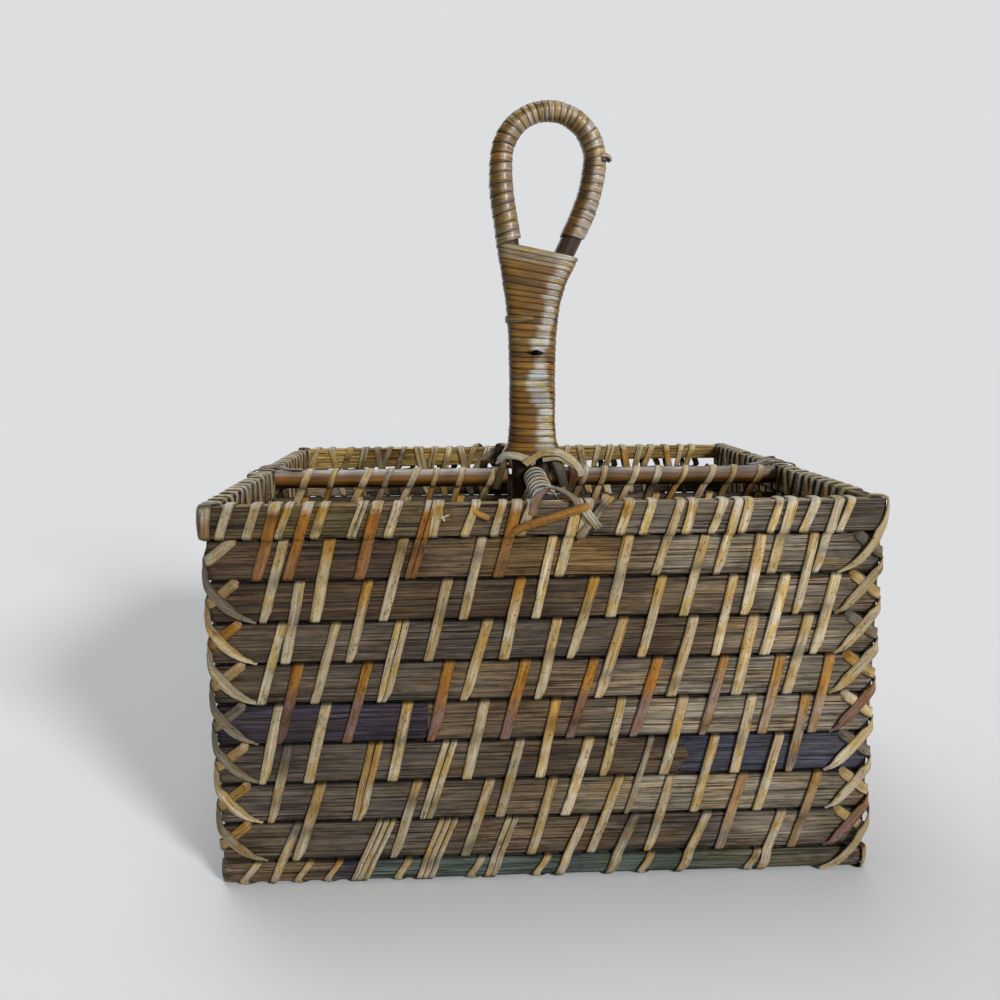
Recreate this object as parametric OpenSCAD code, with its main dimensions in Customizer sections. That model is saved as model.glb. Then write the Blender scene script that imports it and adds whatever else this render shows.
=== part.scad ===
// Lashed cutlery caddy: four walls of flat bamboo splints bound with cane, crossed dividers and a
// wound loop handle in the middle. The origin is on the floor under the middle of the caddy, with
// the front towards -Y and the long sides of the front and back walls along X.

/* [Body] */
// Width across the outer faces of the left and right walls
body_w = 240; // [200:1:280]
// Depth across the outer faces of the front and back walls
body_d = 200; // [170:1:240]
// Rows of splints in each wall
row_count = 8; // [5:1:8]
// Height of one wall splint
row_h = 14.3; // [12:0.1:17]
// Thickness of a wall splint
splint_t = 2.2; // [1.6:0.1:3]
// Bevel along the edges of splints and bands
edge_bevel = 0.4; // [0.2:0.1:0.7]
// Clearance where the end of one strip meets another
butt_fit = 0.1; // [0.05:0.05:0.3]

/* [Rim and foot] */
// Height of the rim bands
rim_h = 11.6; // [9:0.1:15]
// Thickness of each of the two rim bands
rim_t = 3; // [2.4:0.1:4]
// Open gap under the rim of the back wall
rim_back_gap = 4.2; // [2:0.1:6]
// Height of the foot rails
foot_h = 7.6; // [6:0.1:10]
// Thickness of the foot rails
foot_t = 7; // [6:0.1:9]
// How far the foot rails stand out from the walls
foot_proud = 1.6; // [0.8:0.1:2.4]
// Radius of the rounded outer face of the foot rails
foot_round = 6; // [5.5:0.1:9]

/* [Cane] */
// Width of the cane strips
cane_w = 3.5; // [2.5:0.1:4.5]
// Thickness of the cane strips
cane_t = 0.7; // [0.5:0.05:1]
// Clearance between the cane and what it binds
cane_fit = 0.1; // [0.05:0.05:0.2]
// Spacing of the stitches along a wall
stitch_pitch = 23.5; // [18:0.5:30]
// Sideways run of a stitch for each millimetre of its height
stitch_slope = 0.21; // [0.16:0.01:0.3]
// Length left free of stitches at each end of a wall
stitch_edge = 25; // [22:0.5:32]
// Reach of the corner lacing along each wall
lacing_reach = 14; // [9:0.5:15]
// Half spread of the straps that tie a rail end over the rim
tie_spread = 6.5; // [5:0.5:9]
// Length of rail that a tie takes hold of
tie_grip = 9; // [7:0.5:14]

/* [Base and dividers] */
// Thickness of the base splints
base_t = 2.4; // [1.8:0.1:3.5]
// Number of splints in the base
base_count = 13; // [9:1:15]
// Thickness of the divider splints
divider_t = 2.2; // [1.6:0.1:3]
// Rows of splints in each divider
divider_rows = 8; // [5:1:9]
// Length left free of stitches at each end of a divider
divider_edge = 12; // [9:0.5:16]
// Diameter of the rattan rails on top of the dividers
rail_d = 8.4; // [7:0.1:10]

/* [Handle] */
// Height of the top of the loop above the floor
handle_h = 304; // [270:1:340]
// Diameter of the bent rattan rod
rod_d = 9; // [7.5:0.1:11]
// Gap between the two legs in the stem
leg_gap = 1; // [0.4:0.1:3]
// Radius of the round top of the loop, at the middle of the rod
loop_r = 20.5; // [18:0.5:26]
// Radius of the gentle bend in each side of the loop, below its round top
side_bend_r = 80; // [60:5:120]
// Lean of the loop's straight sides from its own middle line, in degrees
loop_lean = 17; // [13:1:21]
// Tilt of the whole loop to the right, in degrees
loop_tilt = 5; // [0:0.5:8]
// Radius of the bend where the two legs part
leg_bend_r = 115; // [80:5:160]
// Height of the foot of the stem winding above the rim
stem_rise = 7; // [5:0.5:14]
// Distance of the legs from the loop's middle line where the stem winding ends
stem_spread = 12.4; // [10:0.2:14]
// Reach of the collar straps along the rails
collar_reach = 16; // [13:0.5:24]
// Turns in the winding round the stem
stem_turns = 24; // [12:1:24]
// Turns in the winding round the loop
loop_turns = 24; // [12:1:24]
// Thickness of the wound cane
wind_t = 0.8; // [0.5:0.05:1.2]
// Gap between neighbouring turns of a winding
wind_gap = 0.7; // [0.6:0.05:1.2]
// Bare rod between the stem winding and each end of the loop winding
wind_bare = 3; // [1:0.5:8]

/* [Hidden] */
$fn = 48;
WALLS = ["front", "right", "back", "left"];
bamboo = [0.42, 0.35, 0.24];
rim_bamboo = [0.50, 0.44, 0.26];
cane = [0.78, 0.66, 0.38];
rattan = [0.36, 0.23, 0.13];

// Room that one layer of cane takes up, and the gap that a strip needs to pass between two splints
lash = cane_t + cane_fit;
row_gap = cane_t + 2 * cane_fit;

// Heights, from the floor up
foot_z = lash;
rows_z = foot_z + foot_h + row_gap;
row_pitch = row_h + row_gap;
rim_z = rows_z + row_count * row_pitch;
rim_top = rim_z + rim_h;
base_z = rows_z;
base_top = base_z + base_t;
rail_z = rim_top - rail_d / 2;

// Distance of the rim bands' outer and inner faces from the outer face of the wall, inwards
rim_y0 = splint_t / 2 - rim_t;
rim_y1 = splint_t / 2 + rim_t;
// Where the foot rail lies, and where panels and rails inside the walls stop
foot_y0 = -foot_proud;
foot_y1 = foot_t - foot_proud;
panel_inset = splint_t + lash + cane_fit;
rail_inset = rim_y1 + lash + cane_fit;

// Spacing of the lashings on the rim and the rails
lash_pitch = stitch_pitch / 2;

// Base strips and divider rows fill the room that is left for them
base_len = body_w - 2 * panel_inset;
base_depth = body_d - 2 * (panel_inset + row_gap);
base_w = (base_depth + row_gap) / base_count - row_gap;
divider_z = base_top + row_gap;
divider_top = rim_z - lash - cane_fit;
divider_pitch = (divider_top - divider_z + row_gap) / divider_rows;
divider_h = divider_pitch - row_gap;

// The handle rod: upright legs, an outward bend, a straight side, a gentle bend back and a round top.
// The lines of the straight sides cross at the fork, and the loop is tilted about it: side_end and
// loop_mid are distances from the fork, along a straight side and along the loop's middle line.
bend_thinning = 0.03;
bend_lap = 0.5;
leg_x = (rod_d + leg_gap) / 2;
leg_z = base_top + row_gap;
side_end = (loop_r - side_bend_r * (1 - cos(loop_lean))) / sin(loop_lean);
loop_mid = side_end * cos(loop_lean) + side_bend_r * sin(loop_lean);
fork_z = handle_h - wind_t - cane_fit - rod_d / 2 - loop_r - loop_mid * cos(loop_tilt);
long_in = leg_x + rod_d / 2 + cane_fit;
cross_in = rod_d / 2 + cane_fit;

// The right side of the loop has m = 1 and the left one m = -1
function side_lean(m) = loop_lean + m * loop_tilt;
function side_start(m) = leg_x / sin(side_lean(m)) + leg_bend_r * tan(side_lean(m) / 2);
function bend_z(m) = fork_z + leg_x / tan(side_lean(m)) - leg_bend_r * tan(side_lean(m) / 2);
function bend_end_z(m) = bend_z(m) + leg_bend_r * sin(side_lean(m));

// Windings: rings in a turn, inner and outer radius round the rod, and pitch along the path
stem_rings = 24;
loop_rings = 18;
wind_r = rod_d / 2 + cane_fit;
stem_z0 = rim_top + stem_rise;
stem_z1 = fork_z + stem_spread / tan(loop_lean);
stem_pitch = (stem_z1 - stem_z0 + wind_gap) / (stem_turns + 1);
stem_w = stem_pitch - wind_gap;
top_len = loop_r * PI / 2;
side_arc = side_bend_r * loop_lean * PI / 180;
function wind_from(m) = (stem_z1 - fork_z) / cos(side_lean(m)) + rod_d / 2 * tan(side_lean(m)) + wind_bare;
function half_len(m) = top_len + side_arc + side_end - wind_from(m);
loop_pitch = (half_len(1) + half_len(-1) + wind_gap) / (loop_turns + 1);
loop_w = loop_pitch - wind_gap;

function half_span(wall) = (wall % 2 == 0 ? body_d : body_w) / 2;
function wall_len(wall) = wall % 2 == 0 ? body_w : body_d;
function splint_len(wall) = wall % 2 == 0 ? body_w : body_d - 2 * (splint_t + butt_fit);
function splint_name(wall, row) = str(WALLS[wall], "_splint_", row);
function stitches_name(wall) = str(WALLS[wall], "_stitches");

// Rows are counted from the top, and the top splint of the back wall is cut lower
function row_z(row) = rows_z + (row_count - row) * row_pitch;
function row_top(wall, row) = row_z(row) + row_h - (wall == 2 && row == 1 ? rim_back_gap - row_gap : 0);
function divider_row_z(row) = divider_z + (divider_rows - row) * divider_pitch;

// Evenly spread places along a wall: neighbouring sets of stitches sit half a pitch apart
function spread(count, pitch, shift) = [for (i = [0:count - 1]) (i - (count - 1) / 2) * pitch + shift];
function stitch_count(len, edge) = floor((len - 2 * edge) / stitch_pitch) + 1;
function set_shift(set) = (set % 2 == 0 ? 1 : -1) * stitch_pitch / 4;
function wall_spread(wall, set) =
    spread(stitch_count(splint_len(wall), stitch_edge), stitch_pitch, set_shift(set));
function rim_spread(wall) = spread(2 * stitch_count(splint_len(wall), stitch_edge) + 1, lash_pitch, 0);

// A wall's own frame: x along the wall as seen from outside, y inwards from its outer face
module on_wall(wall) {
    rotate([0, 0, 90 * wall]) translate([0, -half_span(wall), 0]) children();
}

// A divider's own frame: x outwards from the middle towards a wall, y across its thickness
module on_divider(wall) {
    rotate([0, 0, 90 * wall - 90]) children();
}

function divider_in(wall) = wall % 2 == 0 ? cross_in : long_in;
function divider_len(wall) = half_span(wall) - panel_inset - divider_in(wall);
function divider_mid(wall) = divider_in(wall) + divider_len(wall) / 2;
function divider_spread(wall, set) = [
    for (x = spread(stitch_count(divider_len(wall), divider_edge), stitch_pitch, set_shift(set)))
        x + divider_mid(wall)
];
function rail_spread(wall) = [
    for (x = spread(floor((divider_len(wall) - 2 * divider_edge) / lash_pitch) + 1, lash_pitch, 0))
        x + divider_mid(wall)
];

// A flat strip along x, centred on x, with bevelled edges, its section starting at y 0 and z 0
module strip(len, t, h) {
    b = edge_bevel;
    translate([-len / 2, 0, 0]) rotate([90, 0, 90]) linear_extrude(len)
        polygon([[b, 0], [t - b, 0], [t, b], [t, h - b], [t - b, h], [b, h], [0, h - b], [0, b]]);
}

// Leaning cane loops, at the places xs, round a block that spans y0 to y1 and z0 to z1
module cane_loops(xs, y0, y1, z0, z1) {
    low = z0 - lash;
    high = z1 + lash;
    run = stitch_slope * (high - low) / 2;
    w = cane_w / 2;
    first = min(xs) - run - cane_w;
    last = max(xs) + run + cane_w;
    difference() {
        translate([0, y1 + lash, 0]) rotate([90, 0, 0]) linear_extrude(y1 - y0 + 2 * lash)
            for (x = xs)
                polygon([[x - run - w, low], [x - run + w, low], [x + run + w, high], [x + run - w, high]]);
        translate([first, y0 - cane_fit, z0 - cane_fit])
            cube([last - first, y1 - y0 + 2 * cane_fit, z1 - z0 + 2 * cane_fit]);
    }
}

// Places of the loops that carry on, at the same lean, from height z_from to height z_to
function follow(xs, z_from, z_to) = [for (x = xs) x + stitch_slope * (z_to - z_from)];

// A leaning flat plate against the wall, between two upright ends, in a given layer of cane
module cane_plate(x0, z0, x1, z1, h, layer, y = 0) {
    translate([0, y - cane_fit - (layer - 1) * lash, 0]) rotate([90, 0, 0]) linear_extrude(cane_t)
        polygon([[x0, z0], [x1, z1], [x1, z1 + h], [x0, z0 + h]]);
}

// Walls

module wall_splint(wall, row) {
    color(bamboo) on_wall(wall) translate([0, 0, row_z(row)])
        strip(splint_len(wall), splint_t, row_top(wall, row) - row_z(row));
}

module wall_stitches(wall) {
    color(cane) on_wall(wall) for (row = [1:row_count - 1])
        cane_loops(wall_spread(wall, row), 0, splint_t, row_z(row + 1), row_top(wall, row));
}

// Rim

module rim_outer_bands() {
    color(rim_bamboo) for (wall = [0:3]) {
        ends = wall % 2 == 0 ? rim_y0 : splint_t / 2 + butt_fit;
        on_wall(wall) translate([0, rim_y0, rim_z])
            strip(wall_len(wall) - 2 * ends, rim_t - butt_fit / 2, rim_h);
    }
}

module rim_inner_bands() {
    color(rim_bamboo) for (wall = [0:3]) {
        ends = butt_fit + (wall % 2 == 0 ? splint_t / 2 : rim_y1);
        on_wall(wall) translate([0, splint_t / 2 + butt_fit / 2, rim_z])
            strip(wall_len(wall) - 2 * ends, rim_t - butt_fit / 2, rim_h);
    }
}

module rim_lashing() {
    rim_mid = rim_z + rim_h / 2;
    color(cane) for (wall = [0:3]) on_wall(wall) {
        long = wall_spread(wall, 0);
        cane_loops(concat(long, rim_spread(wall)), rim_y0, rim_y1, rim_z, rim_top);
        top = rim_z - lash - cane_fit;
        cane_loops(follow(long, rim_mid, (row_z(1) + top) / 2), 0, splint_t, row_z(1), top);
    }
}

// Foot

module foot_rails() {
    color(bamboo) for (wall = [0:3]) {
        ends = wall % 2 == 0 ? foot_y0 : foot_y1 + butt_fit;
        len = wall_len(wall) - 2 * ends;
        on_wall(wall) translate([-len / 2, foot_y0, foot_z]) rotate([90, 0, 90]) linear_extrude(len)
            intersection() {
                square([foot_t, foot_h]);
                translate([foot_round, foot_h / 2]) circle(foot_round);
            }
    }
}

module foot_lashing() {
    foot_mid = foot_z + foot_h / 2;
    foot_top = foot_z + foot_h;
    color(cane) for (wall = [0:3]) on_wall(wall) {
        long = wall_spread(wall, row_count);
        short = wall_spread(wall, row_count + 1);
        cane_loops(concat(long, short), foot_y0, foot_y1, foot_z, foot_top);
        bottom = foot_top + lash + cane_fit;
        cane_loops(follow(long, foot_mid, (bottom + row_top(wall, row_count)) / 2), 0, splint_t,
            bottom, row_top(wall, row_count));
    }
}

// Corners: two crossing straps in each row, the upper one in the second layer of cane

module corner_strap(wall, side, row, rising) {
    layer = rising ? 2 : 1;
    reach = half_span(wall + 1);
    tall = cane_w / cos(atan2(row_h - cane_w, lacing_reach));
    inner_z = rising ? row_z(row) : row_z(row) + row_h - tall;
    outer_z = rising ? row_z(row) + row_h - tall : row_z(row);
    on_wall(wall) mirror([side < 0 ? 1 : 0, 0, 0])
        cane_plate(reach - lacing_reach, inner_z, reach + layer * lash, outer_z, tall, layer);
}

module corner_lacing() {
    color(cane) for (wall = [0:3]) for (row = [1:row_count]) for (rising = [false, true]) union() {
        corner_strap(wall, 1, row, rising);
        corner_strap((wall + 1) % 4, -1, row, rising);
    }
}

// Base

module base_splints() {
    color(bamboo) for (i = [0:base_count - 1])
        translate([0, base_depth / 2 - i * (base_w + row_gap), base_z]) rotate([90, 0, 0])
            strip(base_len, base_t, base_w);
}

module base_stitches() {
    color(cane) rotate([-90, 0, 0]) for (i = [0:base_count - 2]) {
        z0 = i * (base_w + row_gap) - base_depth / 2;
        xs = spread(stitch_count(base_len, stitch_edge), stitch_pitch, set_shift(i));
        cane_loops(xs, -base_top, -base_z, z0, z0 + 2 * base_w + row_gap);
    }
}

// Dividers: walls 1 and 3 give the long one, 0 and 2 the cross one

module divider_rail(wall) {
    from = divider_in(wall);
    color(rattan) on_divider(wall) translate([from, 0, rail_z]) rotate([0, 90, 0])
        cylinder(d = rail_d, h = half_span(wall) - rail_inset - from);
}

module divider_splints(walls) {
    color(bamboo) for (wall = walls) on_divider(wall) for (row = [1:divider_rows])
        translate([divider_mid(wall), -divider_t / 2, divider_row_z(row)])
            strip(divider_len(wall), divider_t, divider_h);
}

module rail_loop(x) {
    translate([x, 0, rail_z]) rotate([0, 90, 0]) difference() {
        cylinder(d = rail_d + 2 * lash, h = cane_w, center = true);
        cylinder(d = rail_d + 2 * cane_fit, h = 2 * cane_w, center = true);
    }
}

module divider_stitches(walls) {
    half = divider_t / 2;
    top = rail_z - rail_d / 2 - lash - cane_fit;
    color(cane) for (wall = walls) on_divider(wall) {
        for (row = [1:divider_rows - 1])
            cane_loops(divider_spread(wall, row), -half, half, divider_row_z(row + 1),
                divider_row_z(row) + divider_h);
        low = divider_row_z(1);
        cane_loops(rail_spread(wall), -half, half, low, top);
        for (x = follow(rail_spread(wall), (low + top) / 2, top)) rail_loop(x);
    }
}

// Straps that tie each rail end over the rim, with one cut end laid across the rim's outer face
module rail_ties() {
    face = rim_y0 - lash;
    top = rim_top + lash + cane_fit;
    low = rim_z - cane_fit;
    inner = rail_inset + tie_grip;
    w = cane_w / 2;
    color(cane) for (wall = [0:3]) on_wall(wall) {
        for (m = [-1, 1]) mirror([m < 0 ? 1 : 0, 0, 0]) {
            translate([0, 0, top]) linear_extrude(cane_t)
                polygon([[butt_fit, inner], [butt_fit + cane_w, inner], [tie_spread + w, face - lash],
                    [tie_spread - w, face - lash]]);
            cane_plate(tie_spread - w, low, tie_spread + w, low, top + cane_t - low, 1, face);
        }
        cane_plate(-2 * tie_spread, low, 2 * tie_spread, low + rim_h / 2, cane_w, 2, face);
    }
}

// Handle

// The bent stretches are a trifle thinner than what they run a little way into
module rod_bend(radius, from, sweep, thinning = bend_thinning) {
    lap = bend_lap / radius * 180 / PI;
    rotate([90, 0, 0]) rotate([0, 0, from - lap]) rotate_extrude(angle = sweep + 2 * lap)
        translate([radius, 0]) circle(rod_d / 2 - thinning);
}

module handle_rod() {
    color(rattan) {
        for (m = [-1, 1]) mirror([m < 0 ? 1 : 0, 0, 0]) {
            translate([leg_x, 0, leg_z]) cylinder(d = rod_d, h = bend_z(m) - leg_z);
            translate([leg_x + leg_bend_r, 0, bend_z(m)])
                rod_bend(leg_bend_r, 180 - side_lean(m), side_lean(m));
            translate([0, 0, fork_z]) rotate([0, side_lean(m), 0]) translate([0, 0, side_start(m)])
                cylinder(d = rod_d, h = side_end - side_start(m));
        }
        translate([0, 0, fork_z]) rotate([0, loop_tilt, 0]) translate([0, 0, loop_mid]) {
            rod_bend(loop_r, 0, 180);
            for (m = [0, 1]) mirror([m, 0, 0]) translate([loop_r - side_bend_r, 0, 0])
                rod_bend(side_bend_r, -loop_lean, loop_lean, 2 * bend_thinning);
        }
    }
}

// Crossed straps at the foot of the stem, before and behind it, over the rails
module collar_lashing() {
    tall = cane_w / cos(atan2(stem_rise, collar_reach));
    high = stem_z0 - cane_fit - tall;
    color(cane) for (side = [0, 180]) rotate([0, 0, side]) for (m = [0, 1]) mirror([m, 0, 0])
        cane_plate(-leg_x - rod_d / 2, high, collar_reach, rail_z - tall / 2, tall, m + 1, -rod_d / 2);
}

// Windings: a ring is the strip's section, with its lower edge first, inner point before outer

module wound_strip(rings) {
    n = len(rings);
    sides = [for (i = [0:n - 2]) for (j = [0:3]) let (k = (j + 1) % 4)
        each [[4 * i + j, 4 * i + 4 + k, 4 * i + k], [4 * i + j, 4 * i + 4 + j, 4 * i + 4 + k]]];
    last = 4 * (n - 1);
    caps = [[0, 1, 2], [0, 2, 3], [last, last + 2, last + 1], [last, last + 3, last + 2]];
    polyhedron(points = [for (ring = rings) each ring], faces = concat(sides, caps));
}

// Least distance between the upper edge of each turn and the lower edge of the next
function least_gap(rings, turn) = min([for (i = [0:len(rings) - turn - 2]) for (j = [turn - 1:turn + 1])
    min(norm(rings[i][2] - rings[i + j][1]), norm(rings[i][3] - rings[i + j][0]))]);

// Lean of a leg at height z, and its distance from the stem's middle
function lean_at(z, m) = z <= bend_z(m) ? 0
    : z >= bend_end_z(m) ? side_lean(m)
    : asin((z - bend_z(m)) / leg_bend_r);
function leg_at(z, m) = leg_x + leg_bend_r * (1 - cos(lean_at(z, m)))
    + max(z - bend_end_z(m), 0) * tan(side_lean(m));

// Point i of a turn round both legs, from the middle of the front: two straight runs, two half rounds
function stem_point(i, z, r) =
    let (half = stem_rings / 2, j = i % half, s = floor(i % stem_rings / half) == 0 ? 1 : -1,
        a = -90 + (j - 1) * 180 / (half - 2))
    j == 0 ? [0, -s * r, z] : [s * (leg_at(z, s) + r * cos(a) / cos(lean_at(z, s))), s * r * sin(a), z];

stem_in = wind_r / cos(90 / (stem_rings / 2 - 2));
stem_wind = [for (i = [0:stem_turns * stem_rings])
    let (low = stem_z0 + stem_pitch * i / stem_rings, high = low + stem_w)
    [stem_point(i, low, stem_in), stem_point(i, low, stem_in + wind_t),
        stem_point(i, high, stem_in + wind_t), stem_point(i, high, stem_in)]];

module stem_winding() {
    color(cane) wound_strip(stem_wind);
}

// The loop's right half before it is tilted, at length u from its top: which way its outer side faces,
// as an angle, and its middle line, from the middle of the round top
function loop_facing(u) = u < top_len ? 90 - u / loop_r * 180 / PI
    : -min((u - top_len) / side_bend_r * 180 / PI, loop_lean);
function loop_line(u) = let (b = loop_facing(u))
    u < top_len ? loop_r * [cos(b), sin(b)]
    : [loop_r - side_bend_r, 0] + side_bend_r * [cos(b), sin(b)]
        - max(u - top_len - side_arc, 0) * [sin(loop_lean), cos(loop_lean)];

// Point round the loop rod, at length s from the right end of its winding and angle a round it
function loop_point(s, a, r) =
    let (u = half_len(1) - s, m = u < 0 ? -1 : 1, b = loop_facing(abs(u)),
        p = loop_line(abs(u)) + r * cos(a) * [cos(b), sin(b)], x = m * p[0], z = loop_mid + p[1])
    [x * cos(loop_tilt) + z * sin(loop_tilt), r * sin(a),
        fork_z + z * cos(loop_tilt) - x * sin(loop_tilt)];

loop_in = wind_r / cos(180 / loop_rings);
loop_wind = [for (i = [0:loop_turns * loop_rings])
    let (low = loop_pitch * i / loop_rings, high = low + loop_w, a = 360 * i / loop_rings)
    [loop_point(low, a, loop_in), loop_point(low, a, loop_in + wind_t),
        loop_point(high, a, loop_in + wind_t), loop_point(high, a, loop_in)]];

module loop_winding() {
    color(cane) wound_strip(loop_wind);
}

echo(stem_winding_least_gap = least_gap(stem_wind, stem_rings));
echo(loop_winding_least_gap = least_gap(loop_wind, loop_rings));

for (wall = [0:3]) for (row = [1:row_count])
    wall_splint(wall, row);
for (wall = [0:3])
    wall_stitches(wall);
rim_outer_bands();
rim_inner_bands();
rim_lashing();
foot_rails();
foot_lashing();
corner_lacing();
base_splints();
base_stitches();
divider_rail(3);  // long_rail_left
divider_rail(1);  // long_rail_right
divider_splints([1, 3]);  // long_divider_splints
divider_stitches([1, 3]);  // long_divider_stitches
divider_rail(0);  // cross_rail_front
divider_rail(2);  // cross_rail_back
divider_splints([0, 2]);  // cross_divider_splints
divider_stitches([0, 2]);  // cross_divider_stitches
rail_ties();
handle_rod();
loop_winding();
stem_winding();
collar_lashing();
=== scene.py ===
"""Looks of the lashed cutlery caddy: bamboo splints, cane stitches, rim, dividers and wound handle."""
import math
import zlib

import bpy
import numpy as np
from mathutils import Matrix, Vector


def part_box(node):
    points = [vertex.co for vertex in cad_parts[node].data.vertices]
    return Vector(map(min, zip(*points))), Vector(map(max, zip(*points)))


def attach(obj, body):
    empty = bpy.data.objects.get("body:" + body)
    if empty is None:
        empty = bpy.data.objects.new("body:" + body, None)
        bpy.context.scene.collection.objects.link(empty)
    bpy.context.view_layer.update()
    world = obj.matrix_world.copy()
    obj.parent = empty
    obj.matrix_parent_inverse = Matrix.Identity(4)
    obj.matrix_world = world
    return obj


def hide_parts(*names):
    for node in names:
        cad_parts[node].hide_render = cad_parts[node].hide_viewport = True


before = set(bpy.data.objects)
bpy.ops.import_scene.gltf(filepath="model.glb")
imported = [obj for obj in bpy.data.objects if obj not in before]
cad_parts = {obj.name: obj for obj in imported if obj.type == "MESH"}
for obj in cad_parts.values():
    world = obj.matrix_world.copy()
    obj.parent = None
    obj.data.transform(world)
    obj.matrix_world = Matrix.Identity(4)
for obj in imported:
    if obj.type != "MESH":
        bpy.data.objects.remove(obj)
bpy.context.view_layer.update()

# Lengths below are in millimetres unless a line says otherwise
MM = 0.001
WALLS = ("front", "right", "back", "left")
ROW_COUNT = 8


def box_mm(node):
    """Lowest and highest corner of a CAD node."""
    low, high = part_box(node)
    return np.array(low) / MM, np.array(high) / MM


# Sizes of the walls, rim and foot, from the frame
low, high = box_mm("front_splint_1")
BODY_W = high[0] - low[0]
BODY_D = -2 * low[1]
SPLINT_T = high[1] - low[1]
HALF = (BODY_D / 2, BODY_W / 2, BODY_D / 2, BODY_W / 2)
LENGTH = (BODY_W, BODY_D, BODY_W, BODY_D)
ROW_BOXES = {(w, r): box_mm(f"{WALLS[w]}_splint_{r}") for w in range(4) for r in range(1, ROW_COUNT + 1)}
low, high = box_mm("rim_outer_bands")
RIM_Z, RIM_TOP = low[2], high[2]
RIM_PROUD = high[0] - BODY_W / 2
RIM_IN = SPLINT_T + RIM_PROUD
low, high = box_mm("foot_rails")
FOOT_Z, FOOT_TOP = low[2], high[2]
FOOT_PROUD = high[0] - BODY_W / 2
# How far the foot rails reach inwards from the walls' faces, and how far their rounded edges lie back
FOOT_IN = 5.4
FOOT_CROWN = 1.36

# Cane strips: width, thickness, play to what they lie on, lean, and the distance from stitch to stitch
CANE_W = 3.5
CANE_T = 0.7
FIT = 0.1
LEAN = 0.21
STITCH_PITCH = 23.5


# Colours

def srgb(*rgb):
    """A colour given as screen values from 0 to 255, turned into the linear values that shaders take."""
    c = np.array(rgb) / 255
    return np.where(c <= 0.04045, c / 12.92, ((c + 0.055) / 1.055) ** 2.4)


SEPIA = srgb(78, 62, 46)
UMBER = srgb(90, 75, 58)
BROWN = srgb(109, 92, 71)
DUSK = srgb(89, 79, 69)
ASH = srgb(134, 123, 107)
TAN = srgb(155, 144, 124)
AMBER = srgb(118, 93, 57)
INDIGO = srgb(56, 50, 59)
SLATE = srgb(72, 73, 86)
TEAL = srgb(80, 91, 85)
OLIVE = srgb(118, 103, 62)
STRAW = srgb(166, 149, 116)
PALE = srgb(188, 175, 148)
GOLD = srgb(162, 124, 46)
ORANGE = srgb(148, 98, 30)
RUST = srgb(128, 90, 38)
MAUVE = srgb(118, 92, 84)
GREY = srgb(116, 107, 95)
SILVER = srgb(178, 173, 162)
HONEY = srgb(112, 80, 24)
TOFFEE = srgb(78, 52, 20)
SAND = srgb(124, 106, 64)
CHESTNUT = srgb(104, 68, 38)
LILAC = srgb(148, 139, 132)
FROST = srgb(194, 197, 197)
SOOT = srgb(36, 31, 29)


def mix(a, b, share):
    """Colour a with a share of colour b."""
    return np.asarray(a) + (np.asarray(b) - np.asarray(a)) * np.asarray(share)[..., None]


def stops(x, marks):
    """Colours at the places x, drawn between the marks, which are places with a colour each."""
    places = [place for place, colour in marks]
    return np.stack([np.interp(x, places, [colour[k] for place, colour in marks]) for k in range(3)], -1)


# Chance and smooth lines

def dice(*key):
    """Random numbers that are the same in every run for the same key."""
    return np.random.default_rng(zlib.crc32(repr(key).encode()))


def wave(x, rng, length, size):
    """A smooth random line along x, of about that wavelength, that stays within size."""
    shares = (1.0, 0.6, 0.35)
    total = 0
    for share in shares:
        pace = 2 * math.pi / (length * share * rng.uniform(0.8, 1.25))
        total = total + share * np.sin(pace * x + rng.uniform(0, 2 * math.pi))
    return size * total / sum(shares)


def ease(t):
    """0 before t 0, 1 after t 1, and smooth between."""
    t = np.clip(t, 0, 1)
    return t * t * (3 - 2 * t)


def hump(x, middle, width):
    """1 at the middle, falling smoothly towards 0 over about that width to each side."""
    return np.exp(-((x - middle) / width) ** 2)


def tapered(t, ends, reach):
    """Share of a strap's full width along it (t from 0 to 1), with ends that narrow over that reach."""
    return 1 - (1 - ends[0]) * (1 - ease(t / reach)) - (1 - ends[1]) * (1 - ease((1 - t) / reach))


def unit(v):
    return v / np.linalg.norm(v, axis=-1, keepdims=True)


def run(path):
    """Length along a path at each of its points."""
    return np.concatenate(([0], np.cumsum(np.linalg.norm(np.diff(path, axis=0), axis=1))))


def resample(path, step):
    """Points about step apart along a path."""
    length = run(path)
    places = np.linspace(0, length[-1], max(2, round(length[-1] / step) + 1))
    return np.stack([np.interp(places, length, path[:, k]) for k in range(path.shape[1])], -1)


def spline(points, steps=7):
    """A smooth line through a few points (rows), with that many steps between neighbours."""
    p = np.asarray(points, float)
    p = np.concatenate(([2 * p[0] - p[1]], p, [2 * p[-1] - p[-2]]))
    t = np.linspace(0, 1, steps, endpoint=False)[:, None]
    parts = []
    for a, b, c, d in zip(p, p[1:], p[2:], p[3:]):
        parts.append(0.5 * (2 * b + (c - a) * t + (2 * a - 5 * b + 4 * c - d) * t ** 2
                            + (3 * b - a - 3 * c + d) * t ** 3))
    return np.concatenate((*parts, p[-2:-1]))


# Places

def turned(quarters, back=0.0):
    """Placing by quarter turns about the caddy's middle, after a move by back towards -y."""
    c, s = ((1, 0), (0, 1), (-1, 0), (0, -1))[quarters % 4]

    def place(p):
        x, y, z = p[..., 0], p[..., 1] - back, p[..., 2]
        return np.stack((c * x - s * y, s * x + c * y, z), -1)
    return place


def on_wall(wall):
    """Places (along the wall as seen from outside, inwards from its outer face, up)."""
    return turned(wall, HALF[wall])


def on_divider(wall):
    """Places (from the middle towards that wall, across the divider, up)."""
    return turned(wall - 1)


def on_base(p):
    """Places (along the base splints, downwards, across them)."""
    return np.stack((p[..., 0], p[..., 2], -p[..., 1]), -1)


def as_is(p):
    return p


# Meshes

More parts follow.
